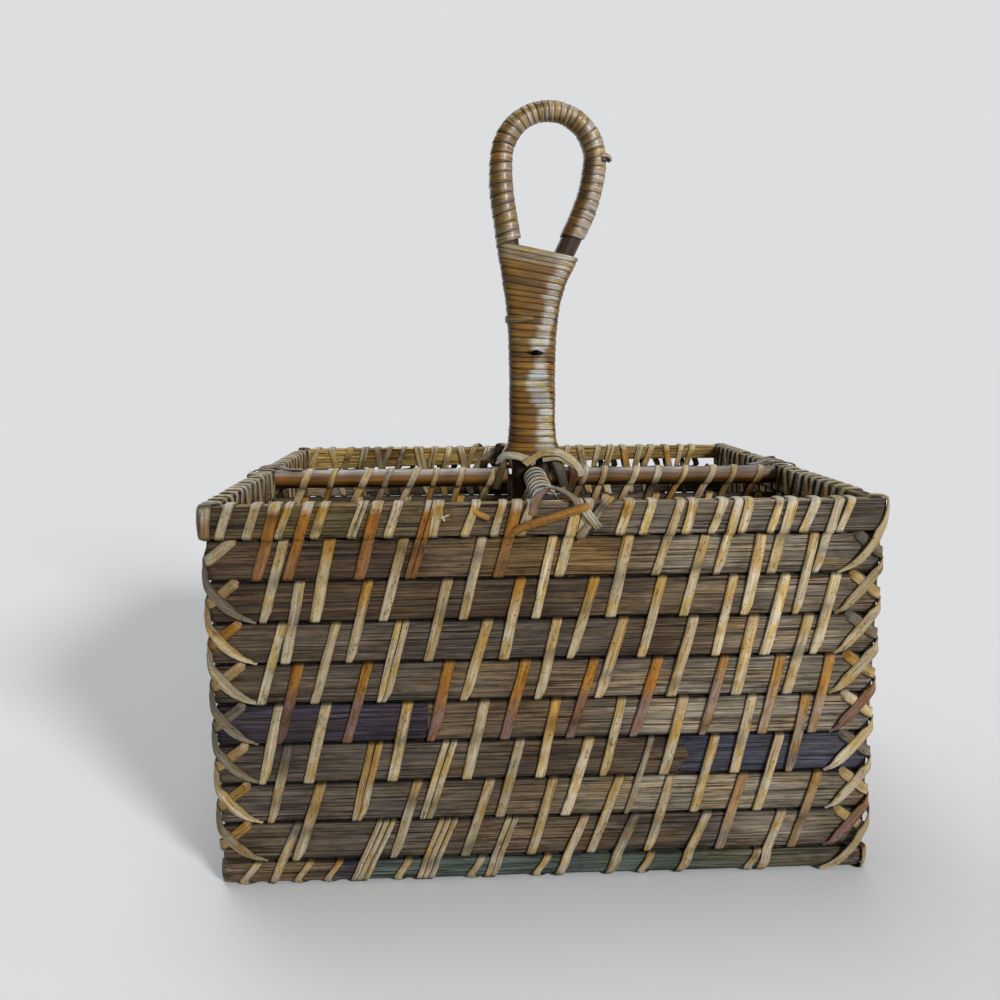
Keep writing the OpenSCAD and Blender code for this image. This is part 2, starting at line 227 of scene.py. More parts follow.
# Edges sharper than this many degrees are shaded as edges
SHARP_ANGLE = 48
# The grain of each strip starts somewhere within this length
GRAIN_SPREAD = 400
UP = np.array((0.0, 0.0, 1.0))


def put(name, data):
    """A new object with that data, in the scene."""
    item = bpy.data.objects.new(name, data)
    bpy.context.scene.collection.objects.link(item)
    return item


def grain_at(along, a, b, rng):
    """Places in the grain of rings of points, from their places along and across a strip."""
    return np.stack((np.broadcast_to(along, a.shape), a, b), -1) + rng.uniform(0, GRAIN_SPREAD, 3)


class Weave:
    """One mesh gathered from strips, slabs and rods, with a tone and a place in the grain at each point."""

    def __init__(self):
        self.points = []
        self.tones = []
        self.grains = []
        self.faces = []
        self.count = 0

    def add(self, rings, tone, grain, closed=False):
        """Rings of points along a path. Closed joins the last ring to the first, else the ends are capped."""
        n, m = rings.shape[:2]
        tone = np.broadcast_to(tone, rings.shape)
        if turned_in(rings, closed):
            rings, tone, grain = rings[:, ::-1], tone[:, ::-1], grain[:, ::-1]
        index = np.arange(n * m).reshape(n, m) + self.count
        here = index if closed else index[:-1]
        there = np.roll(index, -1, 0) if closed else index[1:]
        quads = np.stack((here, np.roll(here, -1, 1), np.roll(there, -1, 1), there), -1)
        self.faces += quads.reshape(-1, 4).tolist()
        if not closed:
            self.faces += [index[0][::-1].tolist(), index[-1].tolist()]
        self.points.append(rings.reshape(-1, 3))
        self.tones.append(tone.reshape(-1, 3))
        self.grains.append(grain.reshape(-1, 3))
        self.count += n * m

    def make(self, name, material, slot, *nodes):
        """The mesh as a piece that stands for those CAD nodes."""
        mesh = bpy.data.meshes.new(name)
        mesh.from_pydata((np.concatenate(self.points) * MM).tolist(), [], self.faces)
        tones = np.concatenate((np.concatenate(self.tones), np.ones((self.count, 1))), 1)
        colours = mesh.color_attributes.new("tone", "FLOAT_COLOR", "POINT")
        colours.data.foreach_set("color", tones.astype(np.float32).ravel())
        places = mesh.attributes.new("grain", "FLOAT_VECTOR", "POINT")
        places.data.foreach_set("vector", np.concatenate(self.grains).astype(np.float32).ravel())
        mesh.shade_smooth()
        mesh.set_sharp_from_angle(angle=math.radians(SHARP_ANGLE))
        mesh.materials.append(material)
        piece = put(name, mesh)
        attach(piece, "root")
        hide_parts(*nodes)


def turned_in(rings, closed):
    """Whether rings of points, as Weave.add joins them, would face inwards."""
    p = rings - rings.mean((0, 1))
    q = np.roll(p, -1, 1)
    a, b = (p, q) if closed else (p[:-1], q[:-1])
    d, c = (np.roll(p, -1, 0), np.roll(q, -1, 0)) if closed else (p[1:], q[1:])
    volume = (a * np.cross(b, c)).sum() + (a * np.cross(c, d)).sum()
    if not closed:
        for ring, sign in ((p[0], -1), (p[-1], 1)):
            middle = ring.mean(0)
            volume += sign * (middle * np.cross(ring, np.roll(ring, -1, 0))).sum()
    return volume < 0


# A cane strip's section as shares of its width and thickness, flat below and crowned above
CANE_SECTION = np.array(((-0.5, 0.3), (-0.44, 0.8), (-0.22, 0.96), (0, 1), (0.22, 0.96), (0.44, 0.8),
                         (0.5, 0.3), (0.45, 0), (0, 0), (-0.45, 0)))
# How light the strip is at those places: its edges and underside are darkened as painted shade
CANE_SHADE = np.array((0.3, 0.84, 1, 1.04, 1, 0.84, 0.3, 0.3, 0.4, 0.3))[:, None]


def strip(weave, place, path, across, outward, tone, rng, width=CANE_W, thick=CANE_T, closed=False):
    """A cane strip whose flat side lies on the path."""
    along = run(path)
    wide = np.broadcast_to(width, along.shape) * (1 + wave(along, rng, 17, 0.05))
    a = CANE_SECTION[:, 0] * wide[:, None]
    b = np.broadcast_to(CANE_SECTION[:, 1] * thick, a.shape)
    rings = path[:, None] + a[..., None] * across[:, None] + b[..., None] * outward[:, None]
    tone = np.asarray(tone)[..., None, :] * CANE_SHADE
    weave.add(place(rings), tone, grain_at(along[:, None], a, b, rng), closed)


# Share of its length over which a strap narrows at its ends: a loose one, and one on a corner
RIBBON_TAPER = 0.15
LACE_TAPER = 0.16


def strap_sides(path, outward):
    """The ways across a strap and straight out from its face, from a rough way out at each point."""
    tangent = unit(np.gradient(path, axis=0))
    across = unit(np.cross(tangent, outward))
    return across, np.cross(across, tangent)


def ribbon(weave, place, points, outward, tone, rng, width=CANE_W, thick=CANE_T, taper=(1, 1)):
    """A loose strap through a few points. Outward is the way its face looks, at each of them or at all."""
    path = spline(points)
    sides = strap_sides(path, spline(np.broadcast_to(outward, np.shape(points))))
    t = np.linspace(0, 1, len(path))
    strip(weave, place, path, *sides, tone(t), rng, width * tapered(t, taper, RIBBON_TAPER), thick)


# Distance between the rings of a loop or slab, points on each bend of a loop, and the bend's usual radius
STEP = 3.0
BEND_POINTS = 3
BEND_R = 0.7


def loop_outline(corners, radius):
    """A closed line (y, z) through rounded corners, and the way that faces out at each of its points."""
    corners = np.asarray(corners, float)
    points = []
    for before, here, after in zip(np.roll(corners, 1, 0), corners, np.roll(corners, -1, 0)):
        sides = before - here, after - here
        reach = min(radius, 0.45 * min(np.linalg.norm(side) for side in sides))
        start, end = (here + unit(side) * reach for side in sides)
        for t in np.linspace(0, 1, BEND_POINTS):
            points.append((1 - t) ** 2 * start + 2 * t * (1 - t) * here + t * t * end)
        room = np.linalg.norm(sides[1]) - 2 * reach
        steps = math.ceil(room / STEP)
        for t in np.arange(1, steps) / steps:
            points.append(end + unit(sides[1]) * room * t)
    points = np.array(points)
    tangent = unit(np.roll(points, -1, 0) - np.roll(points, 1, 0))
    return points, np.stack((-tangent[:, 1], tangent[:, 0]), -1)


# Chance and depth of a dark smudge on a cane loop
SMUDGE_CHANCE = 0.35
SMUDGE_DEPTH = 0.5
# Chance of a loop being pinched where it comes out of the gap below, and how much it narrows then or else
PINCH_CHANCE = 0.3
PINCHED, PLAIN = 0.3, 0.05


def cane_loop(weave, place, corners, x, tones, rng, lean=LEAN, width=CANE_W, strands=1, radius=BEND_R,
              crest=0.0, wound=False):
    """A leaning cane loop round a block whose section has those corners, up its outer side first.

    Tones are its lower and its upper colour, and crest is the share of dust on its top.
    A wound loop comes down on its inner side leaning the other way, as a winding does.
    """
    points, facing = loop_outline(corners, radius)
    z_low, z_high = points[:, 1].min(), points[:, 1].max()
    share = (points[:, 1] - z_low) / (z_high - z_low)
    outer = facing[:, 0] < -0.7
    bulge = np.where(outer, rng.uniform(0.15, 0.5) * np.sin(math.pi * share), 0)
    drift = wave(points[:, 1], rng, 40, 0.14)
    turn = rng.uniform(0.42, 0.8)
    tone = mix(*tones, ease((share - turn) / rng.uniform(0.2, 0.6) + 0.5))
    depth = rng.choice((0, SMUDGE_DEPTH), p=(1 - SMUDGE_CHANCE, SMUDGE_CHANCE))
    smudge = depth * hump(share, rng.uniform(0.1, 0.9), 0.09)
    tone = tone * (1 + wave(points[:, 1], rng, 9, 0.14) - smudge)[:, None]
    tone = mix(tone, SILVER, crest * ease((share - 0.9) / 0.08))
    # The folds at its ends that go into a gap are darkened as painted shade
    folded = np.where(share < 0.05, -facing[:, 1], np.where(share > 0.95, facing[:, 1] * (crest == 0), 0))
    tone = tone * (1 - 0.8 * ease(2 * folded - 0.2))[:, None]
    slant = lean * (points[:, 1] - (z_low + z_high) / 2)
    if wound:
        depth = (points[:, 0] - points[:, 0].min()) / np.ptp(points[:, 0])
        slant = slant + depth * (lean * (z_high - z_low) - 2 * slant)
    pinch = rng.choice((PLAIN, PINCHED), p=(1 - PINCH_CHANCE, PINCH_CHANCE)) * (1 - ease(share / 0.14))
    narrow = 1 - pinch
    for k in range(strands):
        shift = (k - (strands - 1) / 2) * width / strands
        fan = narrow * (1 + 0.1 * share)
        path = np.stack((x + slant + drift + shift * fan - 0.4 * width * pinch,
                         points[:, 0] - bulge * rng.uniform(0.6, 1.3), points[:, 1]), -1)
        across = np.broadcast_to((1.0, 0.0, 0.0), path.shape)
        outward = np.concatenate((np.zeros((len(path), 1)), facing), 1)
        strip(weave, place, path, across, outward, tone * rng.uniform(0.88, 1.08), rng,
              width / strands * narrow, closed=True)


# A slab's section: its height from -1 to 1, and its depth from 0 on the outer face to 1 on the inner
SLAB_RING = np.array([(v, 0) for v in np.linspace(-0.93, 0.93, 13)]
                     + [(0.985, 0.14), (1, 0.36), (1, 0.64), (0.985, 0.86)]
                     + [(v, 1) for v in np.linspace(0.93, -0.93, 5)]
                     + [(-0.985, 0.86), (-1, 0.64), (-1, 0.36), (-0.985, 0.14)])
# Places of the rings near a slab's ends, and the length over which the ends are worn
END_STEPS = (0, 0.25, 0.7, 1.5, 2.8)
END_WEAR = 1.6
# Height of the ridges along a slab's outer face, and how close together they run
RIDGE = 0.06
RIDGE_PACES = (7, 13, 21, 34)
# Length of the point at a slab's end, and how far its worn ends lie back
TIP_RUN = 8
END_DROP = 0.35


def stations(start, end):
    """Places from start to end, closer together near both, where the slab's ends are worn round."""
    steps = np.array(END_STEPS)
    inner = np.linspace(start + steps[-1], end - steps[-1], max(2, round((end - start) / STEP)))
    return np.concatenate((start + steps[:-1], inner, end - steps[-2::-1]))


def slab(weave, place, path, outward, edges, thick, tone, rng, crown=0.35, wobble=0.2, tip=0.0, dirt=1.0,
         end_round=0.0, worn_and_lit_top=0.0, lap=0.0):
    """A flat upright strip along a path on its outer face; edges are the heights of its lower and upper edge.

    Crown is how far its edges lie back, wobble how much they wander, tip how far its end is pointed, and
    lap how much wider its inner face is to each side. End_round is the radius of its ends.
    Its edges are darkened with painted shade, most the lower one, as in the gaps between rows.
    Its upper edge can be made lighter, partly as wear and partly as painted highlight.
    """
    along = run(path)
    v, d = SLAB_RING.T
    lower = edges[0] + wave(along, rng, 70, wobble)
    upper = edges[1] + wave(along, rng, 70, wobble)
    worn = np.clip(1 - np.minimum(along, along[-1] - along) / END_WEAR, 0, 1) ** 2
    lift = ((upper + lower) / 2)[:, None] + ((upper - lower) / 2 * (1 - 0.07 * worn))[:, None] * v
    lift = lift + lap * v * (d > 0.5)
    depth = d * thick + (1 - d) * crown * v ** 2 + (1 - 2 * d) * END_DROP * worn[:, None]
    for pace in RIDGE_PACES:
        drift = wave(along, rng, 90, 1.6) + rng.uniform(0, 6)
        depth = depth + RIDGE * (1 - d) * np.sin(pace * v + drift[:, None]) / 2
    depth = depth + wave(along, rng, 110, 0.12)[:, None]
    if end_round:
        u = np.clip(1 - np.minimum(along, along[-1] - along) / end_round, 0, 1)
        depth = depth + ((1 - d) * end_round) * (1 - np.sqrt(1 - u ** 2))[:, None]
    point = tip * (1 - np.abs(v)) * ease((along - along[-1]) / TIP_RUN + 1)[:, None]
    tangent = unit(np.gradient(path, axis=0))
    rings = (path[:, None] + lift[..., None] * UP - depth[..., None] * outward[:, None]
             + point[..., None] * tangent[:, None])
    # Painted shade: the edges darken towards the gaps between rows, with a near-black line at both
    edge = np.clip(np.where(v > 0, (v - 0.65) / 0.35, (-v - 0.5) / 0.5), 0, 1)
    shade = 1 - dirt * (0.4 * edge ** 2 + 0.5 * (np.abs(v) > 0.95))
    # A paler upper edge, partly wear and partly painted highlight
    if worn_and_lit_top:
        shade = np.where(v > 0.95, 1 + worn_and_lit_top, shade)
    tone = (tone * (1 + wave(along, rng, 45, 0.16))[:, None])[:, None] * shade[:, None]
    weave.add(place(rings), tone, grain_at(along[:, None] + point, lift, depth, rng))


def level_path(x, y):
    """Points at height 0 along x."""
    return np.stack((x, np.full_like(x, y), np.zeros_like(x)), -1)


def straight_slab(weave, place, x0, x1, y, z0, z1, thick, marks, rng, **looks):
    """A slab along x whose outer face lies at y and faces -y."""
    path = level_path(stations(x0, x1), y)
    outward = np.broadcast_to((0.0, -1.0, 0.0), path.shape)
    slab(weave, place, path, outward, (z0, z1), thick, stops(path[:, 0], marks), rng, **looks)


def rod(weave, place, path, radius, tone, rng, sides):
    """A round rod along a path that lies roughly in a plane square to y."""
    side = np.array((0.0, 1.0, 0.0))
    along = run(path)
    tangent = unit(np.gradient(path, axis=0))
    normal = unit(np.cross(tangent, side))
    angle = np.linspace(0, 2 * math.pi, sides, endpoint=False)
    wide = radius + wave(along, rng, 40, 0.12)[:, None] + 0.05 * np.sin(3 * angle + rng.uniform(0, 6))
    a, b = wide * np.cos(angle), wide * np.sin(angle)
    rings = path[:, None] + a[..., None] * normal[:, None] + b[..., None] * side
    weave.add(place(rings), tone(along, np.cos(angle)), grain_at(along[:, None], a, b, rng))


# Materials

# Values of the noise between which its contrast is spread
NOISE_LOW, NOISE_HIGH = 0.34, 0.66
# Height of the fibres in a material's relief
FIBRE_RELIEF = 0.3 * MM
# Patches of more and less gloss: their scale along and across the grain, and the noise they take up
GLOSS_NOISE = (0.05, 1.5, 0.3, 0.7)


def fibre_material(name, streaks, fibres, stains, roughness, coat, bump):
    """Split bamboo or cane: each point's own tone, streaked along the grain and stained.

    Streaks and fibres are a scale along the grain, a scale across it and a depth. A stain is a scale along
    and across the grain, the noise at which it starts and at which it is full, and its tint.
    """
    material = bpy.data.materials.new(name)
    material.use_nodes = True
    nodes, links = material.node_tree.nodes, material.node_tree.links

    def wire(node, values, sources):
        """Set a node's inputs to those values and link others to those sources."""
        for label, value in values.items():
            node.inputs[label].default_value = value
        for label, source in sources.items():
            links.new(source, node.inputs[label])
        return node

    def add(kind, values, sources, **settings):
        """A new node with those settings, inputs and links."""
        node = nodes.new(kind)
        for label, value in settings.items():
            setattr(node, label, value)
        return wire(node, values, sources)

    tone, grain = (add("ShaderNodeAttribute", {}, {}, attribute_name=label) for label in ("tone", "grain"))

    def noise(along, across, low, high, start, end):
        """Noise with its own scale along and across the grain; its values low to high become start to end."""
        stretch = add("ShaderNodeVectorMath", {1: (along, across, across)}, {0: grain.outputs["Vector"]},
                      operation="MULTIPLY")
        texture = add("ShaderNodeTexNoise", {"Scale": 1, "Detail": 4, "Roughness": 0.6},
                      {"Vector": stretch.outputs["Vector"]})
        spread = add("ShaderNodeMapRange",
                     {"From Min": low, "From Max": high, "To Min": start, "To Max": end},
                     {"Value": texture.outputs["Fac"]})
        return spread.outputs["Result"]

    levels = [noise(along, across, NOISE_LOW, NOISE_HIGH, 1 - depth, 1 + depth)
              for along, across, depth in (streaks, fibres)]
    level = add("ShaderNodeMath", {}, dict(enumerate(levels)), operation="MULTIPLY").outputs["Value"]
    colour = tone.outputs["Color"]
    for along, across, low, high, tint in stains:
        # Inputs 0, 6 and 7 and output 2 are the share, the two colours and their mix
        share = noise(along, across, low, high, 0, 1)
        stained = add("ShaderNodeMix", {7: (*tint, 1)}, {0: share, 6: colour}, data_type="RGBA",
                      blend_type="MULTIPLY")
        colour = stained.outputs[2]
    paint = add("ShaderNodeVectorMath", {}, {0: colour, "Scale": level}, operation="SCALE")
    relief = add("ShaderNodeBump", {"Strength": bump, "Distance": FIBRE_RELIEF}, {"Height": level})
    gloss = noise(*GLOSS_NOISE, roughness - 0.1, roughness + 0.12)
    wire(nodes["Principled BSDF"], {"Specular IOR Level": 0.2, "Coat Weight": coat, "Coat Roughness": 0.3},
         {"Base Color": paint.outputs["Vector"], "Roughness": gloss, "Normal": relief.outputs["Normal"]})
    return material


CRACKS = (0.025, 1.7, 0.53, 0.62, (0.15, 0.11, 0.09))
SMOKE = (0.02, 0.12, 0.5, 0.7, (0.42, 0.39, 0.43))
MOTTLE = (0.2, 0.6, 0.5, 0.68, (0.68, 0.63, 0.57))
OCHRE = (0.05, 0.15, 0.5, 0.68, (1.0, 0.86, 0.58))
GOLDEN = (0.13, 0.3, 0.47, 0.6, (0.9, 0.74, 0.36))
BROWN_STREAKS = (0.12, 1.6, 0.57, 0.69, (0.5, 0.36, 0.24))
SPECKS = (0.9, 1.3, 0.58, 0.67, (0.36, 0.28, 0.21))
SMUDGES = (0.16, 0.3, 0.6, 0.72, (0.45, 0.42, 0.4))
BAMBOO = fibre_material("split bamboo", (0.02, 0.8, 0.6), (0.04, 2.0, 0.55), (CRACKS, SMOKE, MOTTLE, OCHRE),
                        0.6, 0, 0.8)
CANE = fibre_material("split cane", (0.05, 0.8, 0.22), (0.025, 2.0, 0.25),
                      (GOLDEN, BROWN_STREAKS, SPECKS, SMUDGES), 0.5, 0.05, 0.3)
WOUND = fibre_material("varnished cane", (0.05, 0.9, 0.35), (0.025, 2.0, 0.4), (OCHRE, GOLDEN, BROWN_STREAKS),
                       0.42, 0.5, 0.35)
RATTAN = fibre_material("rattan rod", (0.03, 0.5, 0.4), (0.025, 2.0, 0.3), (OCHRE, SMUDGES), 0.42, 0.25, 0.3)


# Walls

# Tones of the front rows along the wall, with painted light that makes them darker at the left and lighter at
# the right; two splints were pieced out with dyed lengths
FRONT_ROWS = {
    1: ((-120, SEPIA), (-52, SEPIA), (-40, BROWN), (-8, AMBER), (20, AMBER), (45, ASH), (100, ASH),
        (120, DUSK)),
    2: ((-120, SEPIA), (-60, SEPIA), (0, UMBER), (50, BROWN), (90, ASH), (120, BROWN)),
    3: ((-120, UMBER), (-40, DUSK), (10, DUSK), (40, SEPIA), (60, BROWN), (90, ASH), (120, BROWN)),
    4: ((-120, UMBER), (-60, DUSK), (0, BROWN), (50, ASH), (120, ASH)),
    5: ((-120, INDIGO), (-44.1, INDIGO), (-43.9, BROWN), (10, BROWN), (45, TAN), (90, TAN), (120, ASH)),
    6: ((-120, DUSK), (-60, DUSK), (0, UMBER), (48.4, UMBER), (48.6, SLATE), (120, SLATE)),
    7: ((-120, DUSK), (-50, DUSK), (0, BROWN), (50, TAN), (100, ASH), (120, BROWN)),
    8: ((-120, UMBER), (-60, DUSK), (0, BROWN), (60, DUSK), (90, ASH), (120, DUSK)),
}
# Where the two lengths of those splints meet, and how far the left one's point laps over the right one
SPLICES = {5: (-44.0, 0.3), 6: (48.5, 4.2)}
# How much thinner the right one is
SPLICE_STEP = 0.4
# The gaps between the rows narrow inwards by this much on each side
SPLINT_LAP = 0.35


def row_marks(wall, row, length):
    """Tones along a splint: as seen on the front, and of the same kinds on the other walls."""
    if wall == 0:
        return FRONT_ROWS[row]
    rng = dice("row", wall, row)
    kinds = (SEPIA, UMBER, BROWN, BROWN, DUSK, ASH, TAN)
    return [(x, kinds[rng.integers(len(kinds))]) for x in np.linspace(-length / 2, length / 2, 5)]


def wall_splint(wall, row):
    place = on_wall(wall)
    low, high = ROW_BOXES[wall, row]
    length = (high - low)[wall % 2]
    rng = dice("splint", wall, row)
    weave = Weave()
    start, end = (side * (length / 2 - rng.uniform(0, 0.15)) for side in (-1, 1))
    marks = row_marks(wall, row, length)
    z0, z1 = low[2], high[2]
    joint, tip = SPLICES.get(row, (end, 0)) if wall == 0 else (end, 0)
    straight_slab(weave, place, start, joint, 0, z0, z1, SPLINT_T, marks, rng, tip=tip, lap=SPLINT_LAP)
    if joint < end:
        straight_slab(weave, place, joint + FIT, end, SPLICE_STEP if tip > 1 else 0, z0, z1,
                      SPLINT_T - SPLICE_STEP, marks, rng, lap=SPLINT_LAP)
    weave.make(f"{WALLS[wall]}_bamboo_{row}", BAMBOO, "bamboo", f"{WALLS[wall]}_splint_{row}")


# Stitches

# Middle of each stitch along the front wall, for the sets from the rim's long loops down to the foot's
FRONT_SETS = (
    (-99, -88, -63.5, -45, -14.5, 7, 42.5, 64, 83.5, 100),
    (-97, -80, -55, -27, -1.5, 25.5, 52.5, 74, 93),
    (-91, -67.5, -39.5, -13, 12.5, 37.5, 64, 82.5, 101),
    (-99, -80, -56, -26, 0, 23, 49, 72, 91.5),
    (-93.5, -69, -39, -12, 12.5, 36, 61, 82.5, 101),
    (-100.5, -84, -54, -26.5, 0, 24, 46.5, 72.5, 93),
    (-98, -66.5, -40.5, -14, 11, 34, 58.5, 82.5),
    (-88, -52.5, -26, -2, 21.5, 42, 69, 97),
    (-97, -65, -41.5, -17.5, 9, 28, 55, 84.5),
)
# Middle of each short loop round the front rim and the front foot rail
FRONT_RIM_SHORTS = (-113, -103.5, -92.5, -80.5, -67, -55, -40, -28, -18, -8, 12.5, 26.5, 35, 50, 60, 69.5,
                    80, 92.5, 106)
FRONT_FOOT_SHORTS = (-111, -91.5, -80.5, -54.5, -27.5, -3, 36.5, 77)
# Stitches of the front wall (set and number) that have split into strands, and how wide those are in all
SPLIT_STITCHES = {(3, 2): 2, (6, 1): 2, (6, 2): 2, (8, 1): 3, (8, 2): 3, (8, 3): 2, (0, 3): 2}
SPLIT_WIDTHS = {1: 1.0, 2: 1.25, 3: 1.8}
# Those that are thin and grey, sooty at the top or red at the top, where the others are straw
FRONT_KINDS = {
    "grey": {(6, 5)},
    "sooty": {(6, 0), (8, 0), (8, 5)},
    "ember": {(0, k) for k in range(5)} | {(4, k) for k in range(9)} | {(5, 8), (7, 6), (7, 7)},
}
# Stitches in a set on the other walls, and how far they are out of place
STITCH_COUNTS = (9, 7, 9, 7)
STITCH_PLAY = 1.6
# Painted light on the front wall's stitches: how light they are at places along it, darker at the left as if
# lit from the right
FRONT_LIGHT_LEVELS = ((-110, 0.68), (-40, 0.84), (20, 1), (100, 1.08))
# How much more than usual each set of the front wall leans
FRONT_LEANS = (1.35, 1.15, 1.2, 1.25, 1.25, 1.05, 1.35, 1.55, 2.1)


def stitch_tones(rng, kind="straw"):
    """The lower and the upper tone of a stitch."""
    if kind == "ember":
        return MAUVE * rng.uniform(0.85, 1.15), mix(ORANGE, GOLD, rng.uniform(0, 0.6))
    if kind == "grey":
        return mix(GREY, STRAW, rng.uniform(0, 0.5)), GREY * rng.uniform(0.55, 0.9)
    if kind == "sooty":
        return STRAW * rng.uniform(0.9, 1.05), mix(SOOT, GREY, rng.uniform(0.1, 0.4))
    base = mix(STRAW, PALE, rng.uniform(0, 1)) * rng.uniform(0.9, 1.05)
    return base, mix(base, GOLD, rng.choice((0.1, 0.55, 0.95), p=(0.25, 0.4, 0.35)))


def stagger(number):
    """How far a row of stitches is shifted: every other row the other way."""
    return STITCH_PITCH / 4 * (1 if number % 2 == 0 else -1)


def stitch_places(wall, number):
    """Middles of a set's stitches: seen on the front, evenly spread with some play on the other walls."""
    if wall == 0:
        return FRONT_SETS[number]
    rng = dice("places", wall, number)
    count = STITCH_COUNTS[wall]
    places = (np.arange(count) - (count - 1) / 2) * STITCH_PITCH + stagger(number)
    return [x + rng.uniform(-STITCH_PLAY, STITCH_PLAY) for x in places]


def stitch_kind(wall, number, i):
    """How a stitch looks, and into how many strands it has split."""
    if wall == 0:
        kinds = [kind for kind, spots in FRONT_KINDS.items() if (number, i) in spots]
        return (kinds or ["straw"])[0], SPLIT_STITCHES.get((number, i), 1)
    rng = dice("kind", wall, number, i)
    shares = (0.94, 0, 0.06) if number == 0 else (0.8, 0.14, 0.06)
    return rng.choice(("straw", "ember", "grey"), p=shares), rng.choice((1, 2, 3), p=(0.9, 0.07, 0.03))


def block(y0, y1, z0, z1):
    """Corners of a loop that lies on a plain block, from the foot of its outer side."""
    y0, y1, z0, z1 = y0 - FIT, y1 + FIT, z0 - FIT, z1 + FIT
    return (y0, z0), (y0, z1), (y1, z1), (y1, z0)


def aged(wall, x, tones, number=0, light_paling=(0.5, 0.5)):
    """Tones of a stitch at its place on the front wall, with painted light that makes it darker at the left
    and paler at the right, and with dust low down.

    The last argument is how far its lower and upper tone turn pale at the right, as painted light. The other
    walls' tones stay as they are.
    """
    if wall != 0:
        return list(tones)
    dust = ease((number - 4) / 4)
    # Painted light along the wall: darker at the left, lighter at the right
    level = np.interp(x, *zip(*FRONT_LIGHT_LEVELS))
    level = level + (0.9 - level) * 0.7 * dust
    # Paler towards the right, as painted light
    lit_tones = [mix(tone, PALE, share * ease((x - 20) / 60)) for tone, share in zip(tones, light_paling)]
    return [mix(tone, GREY * 1.5, 0.4 * dust) * level for tone in lit_tones]


def stitch_set(weave, wall, number, corners, radius=BEND_R, crest=0.0):
    """A set of stitches along a wall, round a block with those corners."""
    for i, x in enumerate(stitch_places(wall, number)):
        rng = dice("stitch", wall, number, i)
        kind, strands = stitch_kind(wall, number, i)
        width = CANE_W * rng.uniform(0.98, 1.22) * SPLIT_WIDTHS[strands] * (0.6 if kind == "grey" else 1)
        lean = LEAN * rng.uniform(0.85, 1.15)
        if wall == 0:
            lean = lean * FRONT_LEANS[number] - 0.05 * ease((x - 30) / 60)
        light_paling = (0.3, 0.1) if kind == "ember" else (0.5, 0.5)
        tones = aged(wall, x, stitch_tones(rng, kind), number, light_paling)
        if number == 0 and kind == "ember":
            tones[0] = mix(*tones, 0.6)
        cane_loop(weave, on_wall(wall), corners, x, tones, rng, lean, width, strands, radius, crest)


def wall_stitches(wall):
    weave = Weave()
    for row in range(1, ROW_COUNT):
        low, high = ROW_BOXES[wall, row + 1][0][2], ROW_BOXES[wall, row][1][2]
        stitch_set(weave, wall, row, block(0, SPLINT_T, low, high))
    weave.make(f"{WALLS[wall]}_cane", CANE, "cane", f"{WALLS[wall]}_stitches")


# Rim

RIM_T = RIM_PROUD + SPLINT_T / 2
RIM_CORNER_R = 3.6
# Radius at which cane bends over the rim
RIM_BEND_R = 1.2
RIM_MARKS = ((-120, UMBER), (-90, OLIVE * 0.6), (-20, BROWN * 0.8), (40, ASH * 0.66), (100, ASH * 0.7),
             (115, DUSK))
# The back rim stands off the top splint by these amounts at those places, and light shows through below it
BACK_LIFT = ((-120, 4.4), (-80, 4.4), (110, 0.3))
# The back rim's inner face is the palest: partly its own colour and partly painted light
BACK_RIM = SAND * (2.2, 2.1, 1.7)


def bent_path(half, y):
    """A line along a wall at y that bends round both corners."""
    angle = np.linspace(0, math.pi / 2, 7)
    left = np.stack((RIM_CORNER_R * (1 - np.cos(angle)) - half,
                     RIM_CORNER_R * (1 - np.sin(angle)) + y, 0 * angle), -1)
    middle = stations(-half + RIM_CORNER_R, half - RIM_CORNER_R)[1:-1]
    return np.concatenate((left, level_path(middle, y), left[::-1] * (-1, 1, 1)))


def rim_bands():
    """Outer and inner bands; those of the front and back bend round the corners and meet the side ones."""
    outer, inner = Weave(), Weave()
    inner_y = SPLINT_T / 2 + FIT / 2
    for wall in range(4):
        rng = dice("rim", wall)
        half = LENGTH[wall] / 2
        marks = RIM_MARKS if wall == 0 else row_marks(wall, 1, LENGTH[wall])
        for weave, y, side in ((outer, -RIM_PROUD, half + RIM_PROUD), (inner, inner_y, half - inner_y)):
            end = side - RIM_CORNER_R - FIT
            path = level_path(stations(-end, end), y) if wall % 2 else bent_path(side, y)
            outward = np.cross(unit(np.gradient(path, axis=0)), UP)
            tones = stops(path[:, 0], marks)
            if weave is inner:
                tones = mix(tones, BACK_RIM, 0.85) if wall == 2 else mix(tones, OLIVE, 0.5)
            lift = np.interp(path[:, 0], *zip(*BACK_LIFT)) if wall == 2 else 0
            slab(weave, on_wall(wall), path, outward, (RIM_Z + lift, RIM_TOP), RIM_T - FIT, tones, rng,
                 crown=0.25, wobble=0.15, dirt=0.7, worn_and_lit_top=1.2)
    outer.make("rim_outer_bamboo", BAMBOO, "rim_bamboo", "rim_outer_bands")
    inner.make("rim_inner_bamboo", BAMBOO, "rim_bamboo", "rim_inner_bands")


def corner_wrap(weave, corner, angle, proud, radius, inner, z0, z1, tones, rng):
    """A loop round a rim or foot corner, at an angle in degrees from the left wall to the right one."""
    turn = math.radians(angle)
    c, s = math.cos(turn), math.sin(turn)
    middle = LENGTH[corner] / 2 + proud - radius, radius - proud

    def place(p):
        x, y, z = p[..., 0], p[..., 1], p[..., 2]
        return on_wall(corner)(np.stack((middle[0] + c * x - s * y, middle[1] + s * x + c * y, z), -1))

    cane_loop(weave, place, block(-radius, inner, z0, z1), 0, tones, rng, 0.1, radius=RIM_BEND_R)


# How far the short loops keep from the rim's ends
RIM_MARGIN = 6
# How far the loops round the rim's and the foot's corners reach inwards
RIM_WRAP_IN = 3.0
FOOT_WRAP_IN = 2.5
